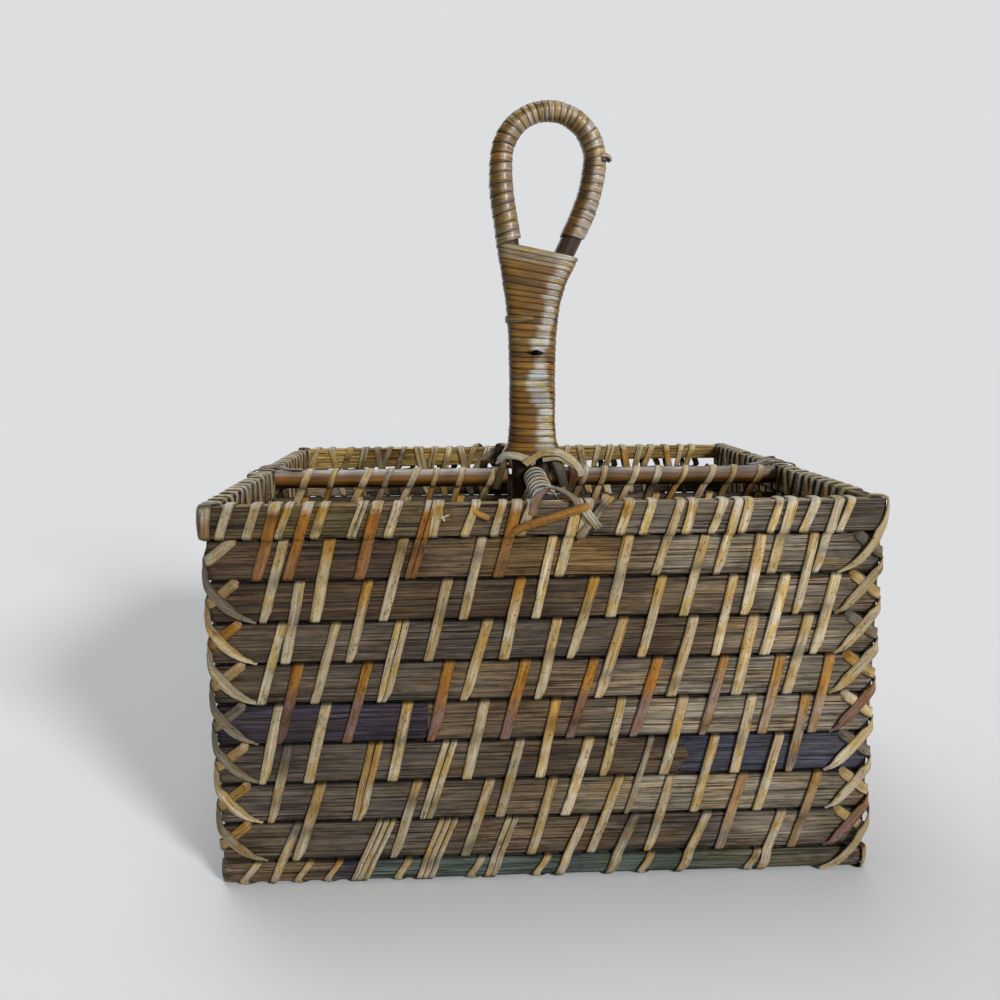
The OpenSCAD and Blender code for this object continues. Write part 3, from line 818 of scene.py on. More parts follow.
# Angles of the loops round the rim's corners; the front one on the right is bare
RIM_CORNER_WRAPS = ((), (25, 65), (45,), (22, 52, 80))
# Share of dust on top of the rim's and the rails' loops
TOP_DUST = 0.7


def rim_short_places(wall):
    """Two short loops after each long one, and up to two before the first."""
    longs = stitch_places(wall, 0)
    third = STITCH_PITCH / 3
    places = [x + third * k for x in longs for k in (1, 2)] + [longs[0] - third * k for k in (1, 2)]
    return [x for x in places if abs(x) < LENGTH[wall] / 2 - RIM_MARGIN]


def rim_short_tones(wall, rng):
    """Lower and upper tone of a short rim loop: straw in front, dustier on the sides and paler at the back,
    partly as painted light.
    """
    if wall == 2:
        # Paler at the back, partly as painted light
        return mix(STRAW, SAND, rng.uniform(0.3, 1)) * 1.2, mix(PALE, SAND, rng.uniform(0, 0.6)) * 1.2
    if wall % 2:
        lower = mix(RUST, GREY, rng.uniform(0, 0.8))
        return lower, mix(LILAC, SILVER, rng.uniform(0, 1)) * rng.uniform(0.7, 1)
    return stitch_tones(rng)


def rim_lashing():
    weave = Weave()
    outer, inner = -RIM_PROUD - FIT, RIM_IN + FIT
    short = block(-RIM_PROUD, RIM_IN, RIM_Z, RIM_TOP)
    for wall in range(4):
        foot = ROW_BOXES[wall, 1][0][2] - FIT
        wall_in = SPLINT_T + FIT
        below = RIM_Z - CANE_T
        long = ((-FIT, foot), (-FIT, below), (outer, RIM_Z), (outer, RIM_TOP + FIT),
                (inner, RIM_TOP + FIT), (inner, RIM_Z), (wall_in, below), (wall_in, foot))
        stitch_set(weave, wall, 0, long, RIM_BEND_R, TOP_DUST)
        places = FRONT_RIM_SHORTS if wall == 0 else rim_short_places(wall)
        for i, x in enumerate(places):
            rng = dice("rim short", wall, i)
            tones = aged(wall, x, rim_short_tones(wall, rng))
            cane_loop(weave, on_wall(wall), short, x + rng.uniform(-0.5, 0.5), tones, rng,
                      LEAN * rng.uniform(1.1, 2), CANE_W * rng.uniform(0.85, 1.1),
                      rng.choice((1, 2), p=(0.85, 0.15)), RIM_BEND_R, TOP_DUST, True)
        for angle in RIM_CORNER_WRAPS[wall]:
            rng = dice("rim corner", wall, angle)
            corner_wrap(weave, wall, angle, RIM_PROUD, RIM_CORNER_R, RIM_WRAP_IN, RIM_Z, RIM_TOP,
                        rim_short_tones(1, rng), rng)
    frays(weave)
    weave.make("rim_cane", CANE, "cane", "rim_lashing")


# Middle of the tuft (along the front wall and up), and the ways its hairs point, in degrees
TUFT_AT = (-37.4, 137.9)
TUFT_ANGLES = (20, 95, 160, 215, 300)


def frays(weave):
    """A tuft and a loose scrap of cane on the front rim, left of the middle."""
    face = -RIM_PROUD - FIT
    out = (0, -1, 0.1)
    rng = dice("tuft")
    for angle in np.radians(TUFT_ANGLES):
        reach = rng.uniform(1.6, 2.8)
        dx, dz = reach * math.cos(angle), reach * math.sin(angle)
        hair = [(TUFT_AT[0] + dx * s, face - 0.5 * s * (2 - s), TUFT_AT[1] + dz * s) for s in (0, 0.5, 1)]
        ribbon(weave, on_wall(0), hair, out, lambda t: mix(PALE, SILVER, t), rng, 0.8, 0.3, (1, 0.3))
    scrap = ((-26.8, face - 0.2, 140.1), (-24.2, face - 0.5, 138.8), (-21, face - 0.2, 137.3))
    ribbon(weave, on_wall(0), scrap, out, lambda t: mix(GOLD, RUST, t), rng, 2.2, CANE_T, (0.5, 0.9))


# Foot

FOOT_MARKS = ((-120, BROWN), (-84, BROWN), (-76, INDIGO), (-70, INDIGO), (-64, TEAL), (40, TEAL),
              (80, mix(OLIVE, TEAL, 0.6)), (120, DUSK))
FOOT_END_R = 4.5
# Height of the foot rail's rounded edges
FOOT_EDGE = 2.2


def foot_rails():
    weave = Weave()
    for wall in range(4):
        end = LENGTH[wall] / 2 + (FOOT_PROUD if wall % 2 == 0 else -FOOT_IN - FIT)
        marks = FOOT_MARKS if wall == 0 else row_marks(wall, ROW_COUNT, LENGTH[wall])
        straight_slab(weave, on_wall(wall), -end, end, -FOOT_PROUD, FOOT_Z, FOOT_TOP, FOOT_PROUD + FOOT_IN,
                      marks, dice("foot", wall), crown=FOOT_CROWN, wobble=0.1, dirt=0.5,
                      end_round=FOOT_END_R if wall % 2 == 0 else 0)
    weave.make("foot_bamboo", BAMBOO, "foot_bamboo", "foot_rails")


def foot_lashing():
    weave = Weave()
    out, into = -FOOT_PROUD - FIT, FOOT_IN + FIT
    edge = out + FOOT_CROWN
    face = ((edge, FOOT_Z - FIT), (out, FOOT_Z + FOOT_EDGE), (out, FOOT_TOP - FOOT_EDGE))
    short = face + ((edge, FOOT_TOP + FIT), (into, FOOT_TOP + FIT), (into, FOOT_Z - FIT))
    for wall in range(4):
        top = ROW_BOXES[wall, ROW_COUNT][1][2] + FIT
        wall_in = SPLINT_T + FIT
        long = face + ((-FIT, FOOT_TOP + 0.5), (-FIT, top), (wall_in, top), (wall_in, FOOT_TOP + 0.6),
                       (into, FOOT_TOP + FIT), (into, FOOT_Z - FIT))
        stitch_set(weave, wall, ROW_COUNT, long)
        places = FRONT_FOOT_SHORTS if wall == 0 else stitch_places(wall, ROW_COUNT + 1)
        for i, x in enumerate(places):
            rng = dice("foot short", wall, i)
            cane_loop(weave, on_wall(wall), short, x, aged(wall, x, stitch_tones(rng), ROW_COUNT), rng,
                      LEAN * rng.uniform(3.3, 4.6), CANE_W * rng.uniform(0.75, 1), wound=True)
        if wall != 3:
            rng = dice("foot corner", wall)
            corner_wrap(weave, wall, 45, FOOT_PROUD, FOOT_END_R, FOOT_WRAP_IN, FOOT_Z, FOOT_TOP,
                        stitch_tones(rng), rng)
    weave.make("foot_cane", CANE, "cane", "foot_lashing")


# Corners

CORNER_R = 1.5
# How far the rim's round corner stands out from the wall's
RIM_CORNER_OUT = math.sqrt(2) * (RIM_PROUD - RIM_CORNER_R + CORNER_R) + RIM_CORNER_R - CORNER_R
# How far the long straps reach along both walls and rise to the edge, and how far the short ones reach
LACE_REACH = 14.8
LACE_RISE = 18.2
CROSS_REACH = 9.6
LACE_POINTS = 41
# For the right corners and the left ones: how light the long and the short straps are, the left ones darkened
# as painted shade; the share of grey long ones, the shares of straw, red and grey short ones, and how much
# the long ones are curved
LACE_LIGHT_LEVELS = ((1, 1), (0.82, 0.58))
LACE_GREYS = (0.1, 0.6)
CROSS_SHARES = ((0.75, 0.05, 0.2), (0.45, 0.4, 0.15))
LACE_CURVES = (1.3, 2.4)
# Corners and rows where the long strap is red at the top
EMBER_LACES = {(0, 5), (0, 8), (1, 3), (2, 6)}


def corner_point(half, q, out):
    """Plan place and facing at length q round a corner, from left to right, standing out by out."""
    arc = CORNER_R * math.pi / 4
    angle = np.clip((q + arc) / CORNER_R, 0, math.pi / 2) - math.pi / 2
    facing = np.stack((np.cos(angle), np.sin(angle)), -1)
    left = np.clip(-arc - q, 0, None)
    right = np.clip(q - arc, 0, None)
    middle = np.array((half - CORNER_R, CORNER_R))
    return middle + (CORNER_R + out)[:, None] * facing + np.stack((-left, right), -1), facing


def lace(weave, corner, q, z, out, tone, rng, ends, width, rise=0):
    """A corner strap that follows q round the corner at heights z, standing out from the walls by out.

    Rise turns the side that faces out upwards, from 0 to 1.
    """
    plan, facing = corner_point(LENGTH[corner] / 2, q, out)
    path = np.concatenate((plan, z[:, None]), 1)
    rise = np.broadcast_to(rise, q.shape)[:, None]
    sides = strap_sides(path, np.concatenate((facing * (1 - rise), rise), 1))
    width = width * tapered(np.linspace(0, 1, len(q)), ends, LACE_TAPER)
    strip(weave, on_wall(corner), path, *sides, tone, rng, width)


def corner_lacing():
    """Straps that cross on every corner: long ones outside, and short ones under them the other way.

    In the top row only the front right corner has a long one, which runs up over the rim.
    """
    weave = Weave()
    pitch = ROW_BOXES[0, 1][0][2] - ROW_BOXES[0, 2][0][2]
    t = np.linspace(-1, 1, LACE_POINTS)
    sink = ease((np.abs(t) - 0.86) / 0.14)
    for corner in range(4):
        # The way the long straps rise: towards the front and back walls' ends
        way = -1 if corner % 2 == 0 else 1
        left = corner // 2
        over_level, under_level = LACE_LIGHT_LEVELS[left]
        greys = LACE_GREYS[left]
        bend = np.sign(t) * np.abs(t) ** LACE_CURVES[left]
        for row in range(1, ROW_COUNT + 1):
            gap = ROW_BOXES[0, row][0][2] - 0.45
            rng = dice("lace", corner, row)
            kind = rng.choice(("straw", "grey"), p=(1 - greys, greys))
            kind = "ember" if (corner, row) in EMBER_LACES else "straw" if row == 1 else kind
            tone = mix(*stitch_tones(rng, kind), ease(0.5 - t * 0.5)) * rng.uniform(0.75, 1) * over_level
            q = way * LACE_REACH * rng.uniform(0.95, 1.06) * bend
            if row > 1:
                z = gap + LACE_RISE * (1 - t)
                z = np.where(t < 0, gap + LACE_RISE - t * (2 * pitch - LACE_RISE), z)
                out = 0.5 + 0.7 * hump(q, 0, 2) - 1.9 * sink
                lace(weave, corner, q, z, out, tone, rng, (0.35, 0.35), CANE_W * rng.uniform(0.95, 1.2))
            elif corner == 0:
                face, top = RIM_CORNER_OUT + 0.2, RIM_TOP + 0.4
                line = spline(((LACE_REACH, gap, -0.6), (8, gap + 4.5, 0.9), (3.5, gap + 10.5, 1.7),
                               (1.2, RIM_Z, face - 0.2), (0.2, RIM_Z + 5, face), (-0.4, top - 1.6, face),
                               (-0.6, top, face - 1.2), (-0.6, top + 0.3, face - 4), (-0.6, top, face - 6.5)))
                over = ease((line[:, 1] - top + 1.6) / 1.6)
                q, z, out = line.T
                lace(weave, corner, way * q, z, out, tone[-1], rng, (0.35, 0.8), CANE_W * 0.92, over)
            rng = dice("under lace", corner, row)
            tones = stitch_tones(rng, rng.choice(("straw", "ember", "grey"), p=CROSS_SHARES[left]))
            tone = mix(*tones, ease(t * 0.5 + 0.5)) * rng.uniform(0.8, 1) * under_level
            q = way * CROSS_REACH * rng.uniform(0.92, 1.1) * t
            out = 0.08 + 0.72 * hump(q, 0, 1.7) - 1.4 * sink
            lace(weave, corner, q, gap + pitch / 2 * (1 + t), out, tone, rng, (0.95, 0.95), CANE_W * 1.15)
    foot_lace(weave)
    weave.make("corner_cane", CANE, "cane", "corner_lacing")


def foot_lace(weave):
    """The strap at the front right that starts under the foot."""
    line = spline(((-16, FOOT_Z + 0.2, 1.4), (-10, 4.2, 2.4), (-4.5, 9.5, 2.2), (-1.4, 15, 1.9),
                   (0.4, 21, 1.9), (3, 28, 1.2), (9, 34, 0.9), (13, 38, -0.8)), 6)
    tone = mix(STRAW, GREY, np.linspace(0.2, 0.7, len(line)))
    lace(weave, 0, *line.T, tone, dice("foot lace"), (0.5, 0.35), CANE_W * 0.9)


# Base

BASE_COUNT = 13
BASE_STITCHES = 9
# Gap between the splints of the base and the dividers
INNER_GAP = 0.9
# Row numbers that give the splints of the base and the dividers tones of their own
BASE_KEY = 20
DIVIDER_KEY = 40


def base():
    low, high = box_mm("base_splints")
    pitch = (high[1] - low[1] + INNER_GAP) / BASE_COUNT
    splints, stitches = Weave(), Weave()
    for i in range(BASE_COUNT):
        start = low[1] + i * pitch
        marks = row_marks(1, BASE_KEY + i, high[0] - low[0])
        straight_slab(splints, on_base, low[0], high[0], -high[2], start, start + pitch - INNER_GAP,
                      high[2] - low[2], marks, dice("base", i))
        if i < BASE_COUNT - 1:
            corners = block(-high[2], -low[2], start, start + 2 * pitch - INNER_GAP)
            for j in range(BASE_STITCHES):
                rng = dice("base stitch", i, j)
                x = (j - (BASE_STITCHES - 1) / 2) * STITCH_PITCH + stagger(i)
                cane_loop(stitches, on_base, corners, x, stitch_tones(rng), rng)
    splints.make("base_bamboo", BAMBOO, "bamboo", "base_splints")
    stitches.make("base_cane", CANE, "cane", "base_stitches")


# Dividers: walls 1 and 3 carry the long one, 0 and 2 the cross one

low, high = box_mm("long_rail_right")
RAIL_R = (high[1] - low[1]) / 2
RAIL_Z = (low[2] + high[2]) / 2
RAIL_SPANS = {1: (low[0], high[0]), 3: (low[0], high[0])}
low, high = box_mm("cross_rail_back")
RAIL_SPANS.update({0: (low[1], high[1]), 2: (low[1], high[1])})
# Gap between a divider's splints and the wall, their thickness, and how far from their ends stitches keep
PANEL_GAP = 3.1
DIVIDER_T = 2.2
STITCH_MARGIN = 12
# Width of the broad bands round the front rail, and the distance from one to the next
FRONT_BAND_W = 4.8
FRONT_BAND_PITCH = 10.6
# How far the loops round a rail keep from its ends, how far they are out of place on each wall's rail, and
# the angles at which they bend round it
LOOP_MARGIN = 8
LOOP_PLAY = (0.8, 2.5, 2.5, 2.5)
LOOP_ANGLES = np.radians(np.linspace(250, -70, 11))
# Tones round a rail, from the cosine of the angle from its top: painted shade below, and on top a pale grey
# that is partly dust and partly painted highlight
RAIL_MARKS = ((-1, SOOT * 0.5), (-0.45, TOFFEE * 0.6), (0, RUST * 0.8), (0.4, CHESTNUT), (0.66, LILAC * 0.75),
              (1, LILAC))
RAIL_POINTS = 36
RAIL_SIDES = 20
# How light each wall's rail is: the front one is darkened as painted shade
RAIL_LEVELS = (0.15, 0.95, 1, 1.1)
# The front rail stands a little high, and a little to the right at the stem
FRONT_LIFT = 1.5
FRONT_SKEW = 2.5


def rail_shift(wall, x):
    """Sideways and upward move of a rail at a place along it."""
    start, end = RAIL_SPANS[wall]
    share = 1 - (x - start) / (end - start) if wall == 0 else 0 * x
    return FRONT_SKEW * share, FRONT_LIFT * (wall == 0)


def rail_tone(along, cosine):
    """Pale on top, partly dust and partly painted highlight, red-brown at the sides, and darkened below as
    painted shade.
    """
    grime = 1 + wave(along, dice("rail grime"), 25, 0.3)
    return stops(cosine, RAIL_MARKS) * grime[:, None, None]


def divider_rail(wall, name, node):
    weave = Weave()
    start, end = RAIL_SPANS[wall]
    x = np.linspace(start, end, RAIL_POINTS)
    rng = dice("rail", wall)
    aside, lift = rail_shift(wall, x)
    path = np.stack((x, wave(x, rng, 120, 0.15) + aside, np.full_like(x, RAIL_Z + lift)), -1)
    rod(weave, on_divider(wall), path, RAIL_R, lambda *at: RAIL_LEVELS[wall] * rail_tone(*at), rng,
        RAIL_SIDES)
    weave.make(name, RATTAN, "rattan", node)


def divider_panel(walls, name):
    splints, stitches = Weave(), Weave()
    low, high = box_mm(f"{name}_splints")
    pitch = (high[2] - low[2] + INNER_GAP) / ROW_COUNT
    half = DIVIDER_T / 2
    for wall in walls:
        place = on_divider(wall)
        start, end = RAIL_SPANS[wall][0], HALF[wall] - PANEL_GAP
        middle = (start + end) / 2
        count = math.floor((end - start - 2 * STITCH_MARGIN) / STITCH_PITCH) + 1
        for row in range(ROW_COUNT):
            z = low[2] + row * pitch
            tones = row_marks(1, DIVIDER_KEY + 10 * wall + row, end - start)
            marks = [(x + middle, colour) for x, colour in tones]
            straight_slab(splints, place, start, end, -half, z, z + pitch - INNER_GAP, DIVIDER_T, marks,
                          dice("divider", wall, row))
            corners = block(-half, half, z, z + 2 * pitch - INNER_GAP)
            for i in range(count if row < ROW_COUNT - 1 else 0):
                rng = dice("divider stitch", wall, row, i)
                x = middle + (i - (count - 1) / 2) * STITCH_PITCH + stagger(row) + rng.uniform(-1, 1)
                cane_loop(stitches, place, corners, x, stitch_tones(rng), rng, -LEAN if wall == 3 else LEAN)
        rail_loops(stitches, wall, low[2] + (ROW_COUNT - 1) * pitch, half)
    splints.make(f"{name}_bamboo", BAMBOO, "bamboo", f"{name}_splints")
    stitches.make(f"{name}_cane", CANE, "cane", f"{name}_stitches")


def rail_loops(weave, wall, low, half):
    """Loops round a rail and the splint that hangs from it."""
    neck = RAIL_Z - RAIL_R - 1
    reach = RAIL_R + FIT
    start, end = RAIL_SPANS[wall]
    pitch = FRONT_BAND_PITCH if wall == 0 else STITCH_PITCH / 2
    count = math.floor((end - start - 2 * LOOP_MARGIN) / pitch) + 1
    for i in range(count):
        rng = dice("rail loop", wall, i)
        x = (start + end) / 2 + (i - (count - 1) / 2) * pitch + rng.uniform(-LOOP_PLAY[wall], LOOP_PLAY[wall])
        aside, lift = rail_shift(wall, x)
        round_rail = [(aside + reach * math.cos(a), RAIL_Z + lift + reach * math.sin(a)) for a in LOOP_ANGLES]
        corners = [(-half - FIT, low - FIT), (-half - FIT, neck), *round_rail, (half + FIT, neck),
                   (half + FIT, low - FIT)]
        lower = mix(RUST, UMBER, rng.uniform(0, 1))
        tones = lower, mix(GOLD, PALE, rng.uniform(0.2, 1)) * rng.uniform(0.7, 1)
        lean, width = LEAN * rng.uniform(1.3, 2.6), CANE_W * rng.uniform(0.75, 1.1)
        if wall == 0:
            # Painted light: the front rail's bands are grey below and silver-white on their lit tops
            tones = GREY, SILVER * rng.uniform(0.95, 1.35)
            lean, width = LEAN * rng.uniform(0.8, 1.4), FRONT_BAND_W
        lean = -lean if wall == 3 else lean
        cane_loop(weave, on_divider(wall), corners, x, tones, rng, lean, width, crest=TOP_DUST)


# Straps that tie each rail end over the rim

TIE_W = 3


def rail_ties():
    weave = Weave()
    face = -RIM_PROUD - FIT - CANE_T
    top = RIM_TOP + FIT + CANE_T
    up, out, lean = (0, 0, 1), (0, -1, 0.1), (0, -0.6, 0.8)
    over = up, up, up, lean, out, out
    for wall in range(4):
        place = on_wall(wall)
        rng = dice("tie", wall)
        dull = mix(MAUVE * rng.uniform(0.9, 1.1), LILAC, 0 if wall == 0 else 0.7)
        # The straps of the front tie stand off their rail, and the others are sunk into theirs
        seat, bend, crest = (top + 1, 9, 2) if wall == 0 else (RAIL_Z + RAIL_R - 0.6, 10.5, 4.6)
        left = ((1, 17, seat), (-0.5, bend, seat + 0.6), (-3, crest, top + 0.9), (-4.6, -2.6, top - 0.2),
                (-5.4, face - 0.1, RIM_TOP - 2.2), (-6, face, RIM_TOP - 4.2))
        ribbon(weave, place, left, over, lambda t: mix(dull, RUST, ease(4 * t - 3)), rng, TIE_W)
        right = ((1, 17, seat + 0.6), (4.2, bend, seat + 1.2), (7.4, crest, top + 1.2),
                 (9.4, -2.8, top - 0.3), (10.6, face - 0.2, RIM_TOP - 1.8), (12, face - 0.4, RIM_TOP - 3))
        ribbon(weave, place, right, over, lambda t: mix(LILAC, dull, t), rng, TIE_W)
        slash = ((22.6, 4, top - 0.6), (21.6, -1.5, top + 0.4), (19.4, face, RIM_TOP - 0.6),
                 (15.9, face - 0.3, RIM_Z + 6.4), (11.4, face, RIM_Z + 0.4), (11, face + 1.6, RIM_Z - 0.6))
        ribbon(weave, place, slash, (up, lean, out, out, out, out),
               lambda t: mix(mix(STRAW, GREY, t), SOOT, 0.8 * hump(t, 0.45, 0.1)), rng, TIE_W)
        frayed = np.array(((11.2, face - 1.1, RIM_TOP - 1), (14.5, face - 1.3, RIM_Z + 6.4),
                           (17.4, face - 0.7, RIM_Z + 2.6)))
        for shift in (-0.9, 0, 0.9):
            ribbon(weave, place, frayed + (shift, 0, shift / 2), out, lambda t: mix(SILVER, GREY, t), rng,
                   1.1, 0.5, (0.8, 0.4))
        band = ((-14, face + 0.6, RIM_Z + 0.2), (-9.4, face - 0.7, RIM_Z + 3.2),
                (0.5, face - 1.1, RIM_Z + 6.4), (11.2, face - 1.6, RIM_Z + 9.9),
                (13.6, face - 1.2, RIM_Z + 9.8))
        ribbon(weave, place, band, out, lambda t: mix(RUST, GOLD, 0.35 * ease(2 * t - 0.8)), rng, 3.1,
               taper=(0.6, 0.4))
    weave.make("tie_cane", CANE, "cane", "rail_ties")


# Handle

low, high = box_mm("handle_rod")
ROD_R = (high[1] - low[1]) / 2
LOOP_R = (high[0] - low[0]) / 2 - ROD_R
LOOP_Z = high[2] - ROD_R - LOOP_R
LEG_Z = low[2]
LEG_X = ROD_R + 0.5
LEG_BEND_R = 115
SIDE_BEND_R = 80
LOOP_LEAN = math.radians(17)
LOOP_TILT = math.radians(5)
STEM_SPREAD = 12.4
# Distance of the round top's middle from the fork, where the lines of the loop's straight sides cross
LOOP_MID = ((LOOP_R - SIDE_BEND_R * (1 - math.cos(LOOP_LEAN))) / math.tan(LOOP_LEAN)
            + SIDE_BEND_R * math.sin(LOOP_LEAN))
FORK_Z = LOOP_Z - LOOP_MID * math.cos(LOOP_TILT)
STEM_Z = RIM_TOP + 5
STEM_TOP = FORK_Z + STEM_SPREAD / math.tan(LOOP_LEAN)
ROD_SIDES = 14
# Points on a bend of the rod and on the loop's round top, and the distance between points in the end
BEND_COUNT = 16
TOP_COUNT = 50
LINE_STEP = 1.5
# The handle has been pulled a little to the right, from below the rails up, but not near the stem's top
SWAY = 2.0
SWAY_FROM, SWAY_RUN = 60, 90
UNSWAYED_Z, UNSWAYED_RUN = 228, 20


def sway(z):
    """How far the handle has been pulled to the right at a height."""
    return SWAY * (ease((z - SWAY_FROM) / SWAY_RUN) - hump(z, UNSWAYED_Z, UNSWAYED_RUN))


def arc_points(middle, radius, start, end, count):
    """Points (x, z) on an arc between two angles."""
    angle = np.linspace(start, end, count)
    return np.array(middle) + radius * np.stack((np.cos(angle), np.sin(angle)), -1)


def leg_line(side):
    """The middle line (x, z) of the right leg (side 1) or the left (-1), from its foot through its bend."""
    lean = LOOP_LEAN + side * LOOP_TILT
    bend_z = FORK_Z + LEG_X / math.tan(lean) - LEG_BEND_R * math.tan(lean / 2)
    bend = arc_points((LEG_X + LEG_BEND_R, bend_z), LEG_BEND_R, math.pi, math.pi - lean, BEND_COUNT)
    return np.concatenate(([(LEG_X, LEG_Z)], bend)) * (side, 1)


def handle_line():
    """The rod's middle line (x, z), from the foot of the right leg over the tilted loop to the left one."""
    side = arc_points((LOOP_R - SIDE_BEND_R, LOOP_MID), SIDE_BEND_R, -LOOP_LEAN, 0, BEND_COUNT)
    top = arc_points((0, LOOP_MID), LOOP_R, 0, math.pi, TOP_COUNT)
    loop = np.concatenate((side[:-1], top, side[-2::-1] * (-1, 1)))
    c, s = math.cos(LOOP_TILT), math.sin(LOOP_TILT)
    loop = np.stack((loop[:, 0] * c + loop[:, 1] * s, FORK_Z + loop[:, 1] * c - loop[:, 0] * s), -1)
    return resample(np.concatenate((leg_line(1), loop, leg_line(-1)[::-1])), LINE_STEP)


LINE = handle_line()
LINE_RUN = run(LINE)
LINE_TOP = int(LINE[:, 1].argmax())
# The handle is thinner at the top of the loop, by this much over about that length to each side
LOOP_THIN = 1.1
LOOP_THIN_RUN = 32


def rod_radius(s):
    """The handle rod's radius at a length along its middle line."""
    return ROD_R - LOOP_THIN * hump(s, LINE_RUN[LINE_TOP], LOOP_THIN_RUN)


def handle_rod():
    weave = Weave()
    x, z = LINE.T
    path = np.stack((x + sway(z), 0 * x, z), -1)
    tone = mix(SOOT, CHESTNUT, 0.2)
    rod(weave, as_is, path, rod_radius(LINE_RUN)[:, None], lambda *at: tone, dice("rod"), ROD_SIDES)
    weave.make("handle_rattan", RATTAN, "rattan", "handle_rod")


# What draws back at a slit: the strip's edge (1 is its upper one), how many turns on, and by how much
SLIT_EDGES = ((1, 0, 1.6), (-1, 1, 0.9))
# Half the length of a slit, in turns
SLIT_RUN = 0.022


def wound(weave, turns, rings_per_turn, pitches, point, tones, rng, worn, slit=None):
    """A flat cane strip wound in turns, each lapping a little on the one below it.

    Pitches are the turns' shares of the length. Point gives the places for shares of the length, turns (with
    fractions), heights in the strip and lifts, and worn gives the colours, with dust and painted light and
    shade laid on, for colours and turns.
    A slit is a turn where the strip and the one above it narrow and show what lies under them.
    """
    shares = np.array(pitches) / sum(pitches)
    starts = np.concatenate(([0], np.cumsum(shares)))
    i = np.arange(turns * rings_per_turn + 1) / rings_per_turn
    s = np.interp(i, np.arange(turns + 1), starts)
    wide = np.interp(i - 0.5, np.arange(turns), shares)
    a = CANE_SECTION[:, 0] * wide[:, None]
    if slit is not None:
        for edge, later, narrowing in SLIT_EDGES:
            drawn = narrowing * hump(i, slit + later, SLIT_RUN)[:, None]
            a = np.where(a * edge > 0, a - drawn * a, a)
    height = np.where(CANE_SECTION[:, 1] > 0, 0.62 + 0.38 * CANE_SECTION[:, 1] + 0.3 * CANE_SECTION[:, 0], 0)
    b = np.broadcast_to(height, a.shape)
    lift = np.interp(i, np.arange(turns + 1), rng.uniform(0, 0.3, turns + 1))
    rings, across = point(s[:, None] + a, i[:, None], b, lift[:, None])
    tone = stops(i, [(k + 0.5, colour) for k, colour in enumerate(tones)])
    tone = worn(tone * (1 + wave(i, rng, 0.7, 0.3))[:, None], i)
    # Painted shade along the edges of each turn, where it meets the next
    shade = 1 - 0.8 * (2 * np.abs(CANE_SECTION[:, 0])) ** 6
    along = run(rings.mean(1))[:, None]
    weave.add(rings, tone[:, None] * shade[:, None], grain_at(along, across, b, rng))


WOUND_T = 0.8
LOOP_TURNS = 38
LOOP_RINGS = 28
# Width of the loop's turns on its legs, and how much narrower they are over its top
LOOP_PITCH = 4.9
LOOP_PITCH_DROP = 2.2
# Height above the stem's winding at which the loop's winding starts on the right and ends on the left
RIGHT_BARE = 5.5
LEFT_BARE = 3.4
# Turns along the loop with the place of its whitish patch there (partly dust, partly painted highlight), as a
# fraction of a turn, and with the patch's share
LOOP_DUST_AND_SHEEN_AT = ((16, 0.61), (22, 0.39))
LOOP_DUST_AND_SHEEN = ((12, 0.72), (22, 0.35))
# Tones along the loop from the right leg over the top to the left one
LOOP_MARKS = ((0, HONEY), (0.2, TOFFEE), (0.36, SAND), (0.62, SAND), (0.78, HONEY), (1, SAND))


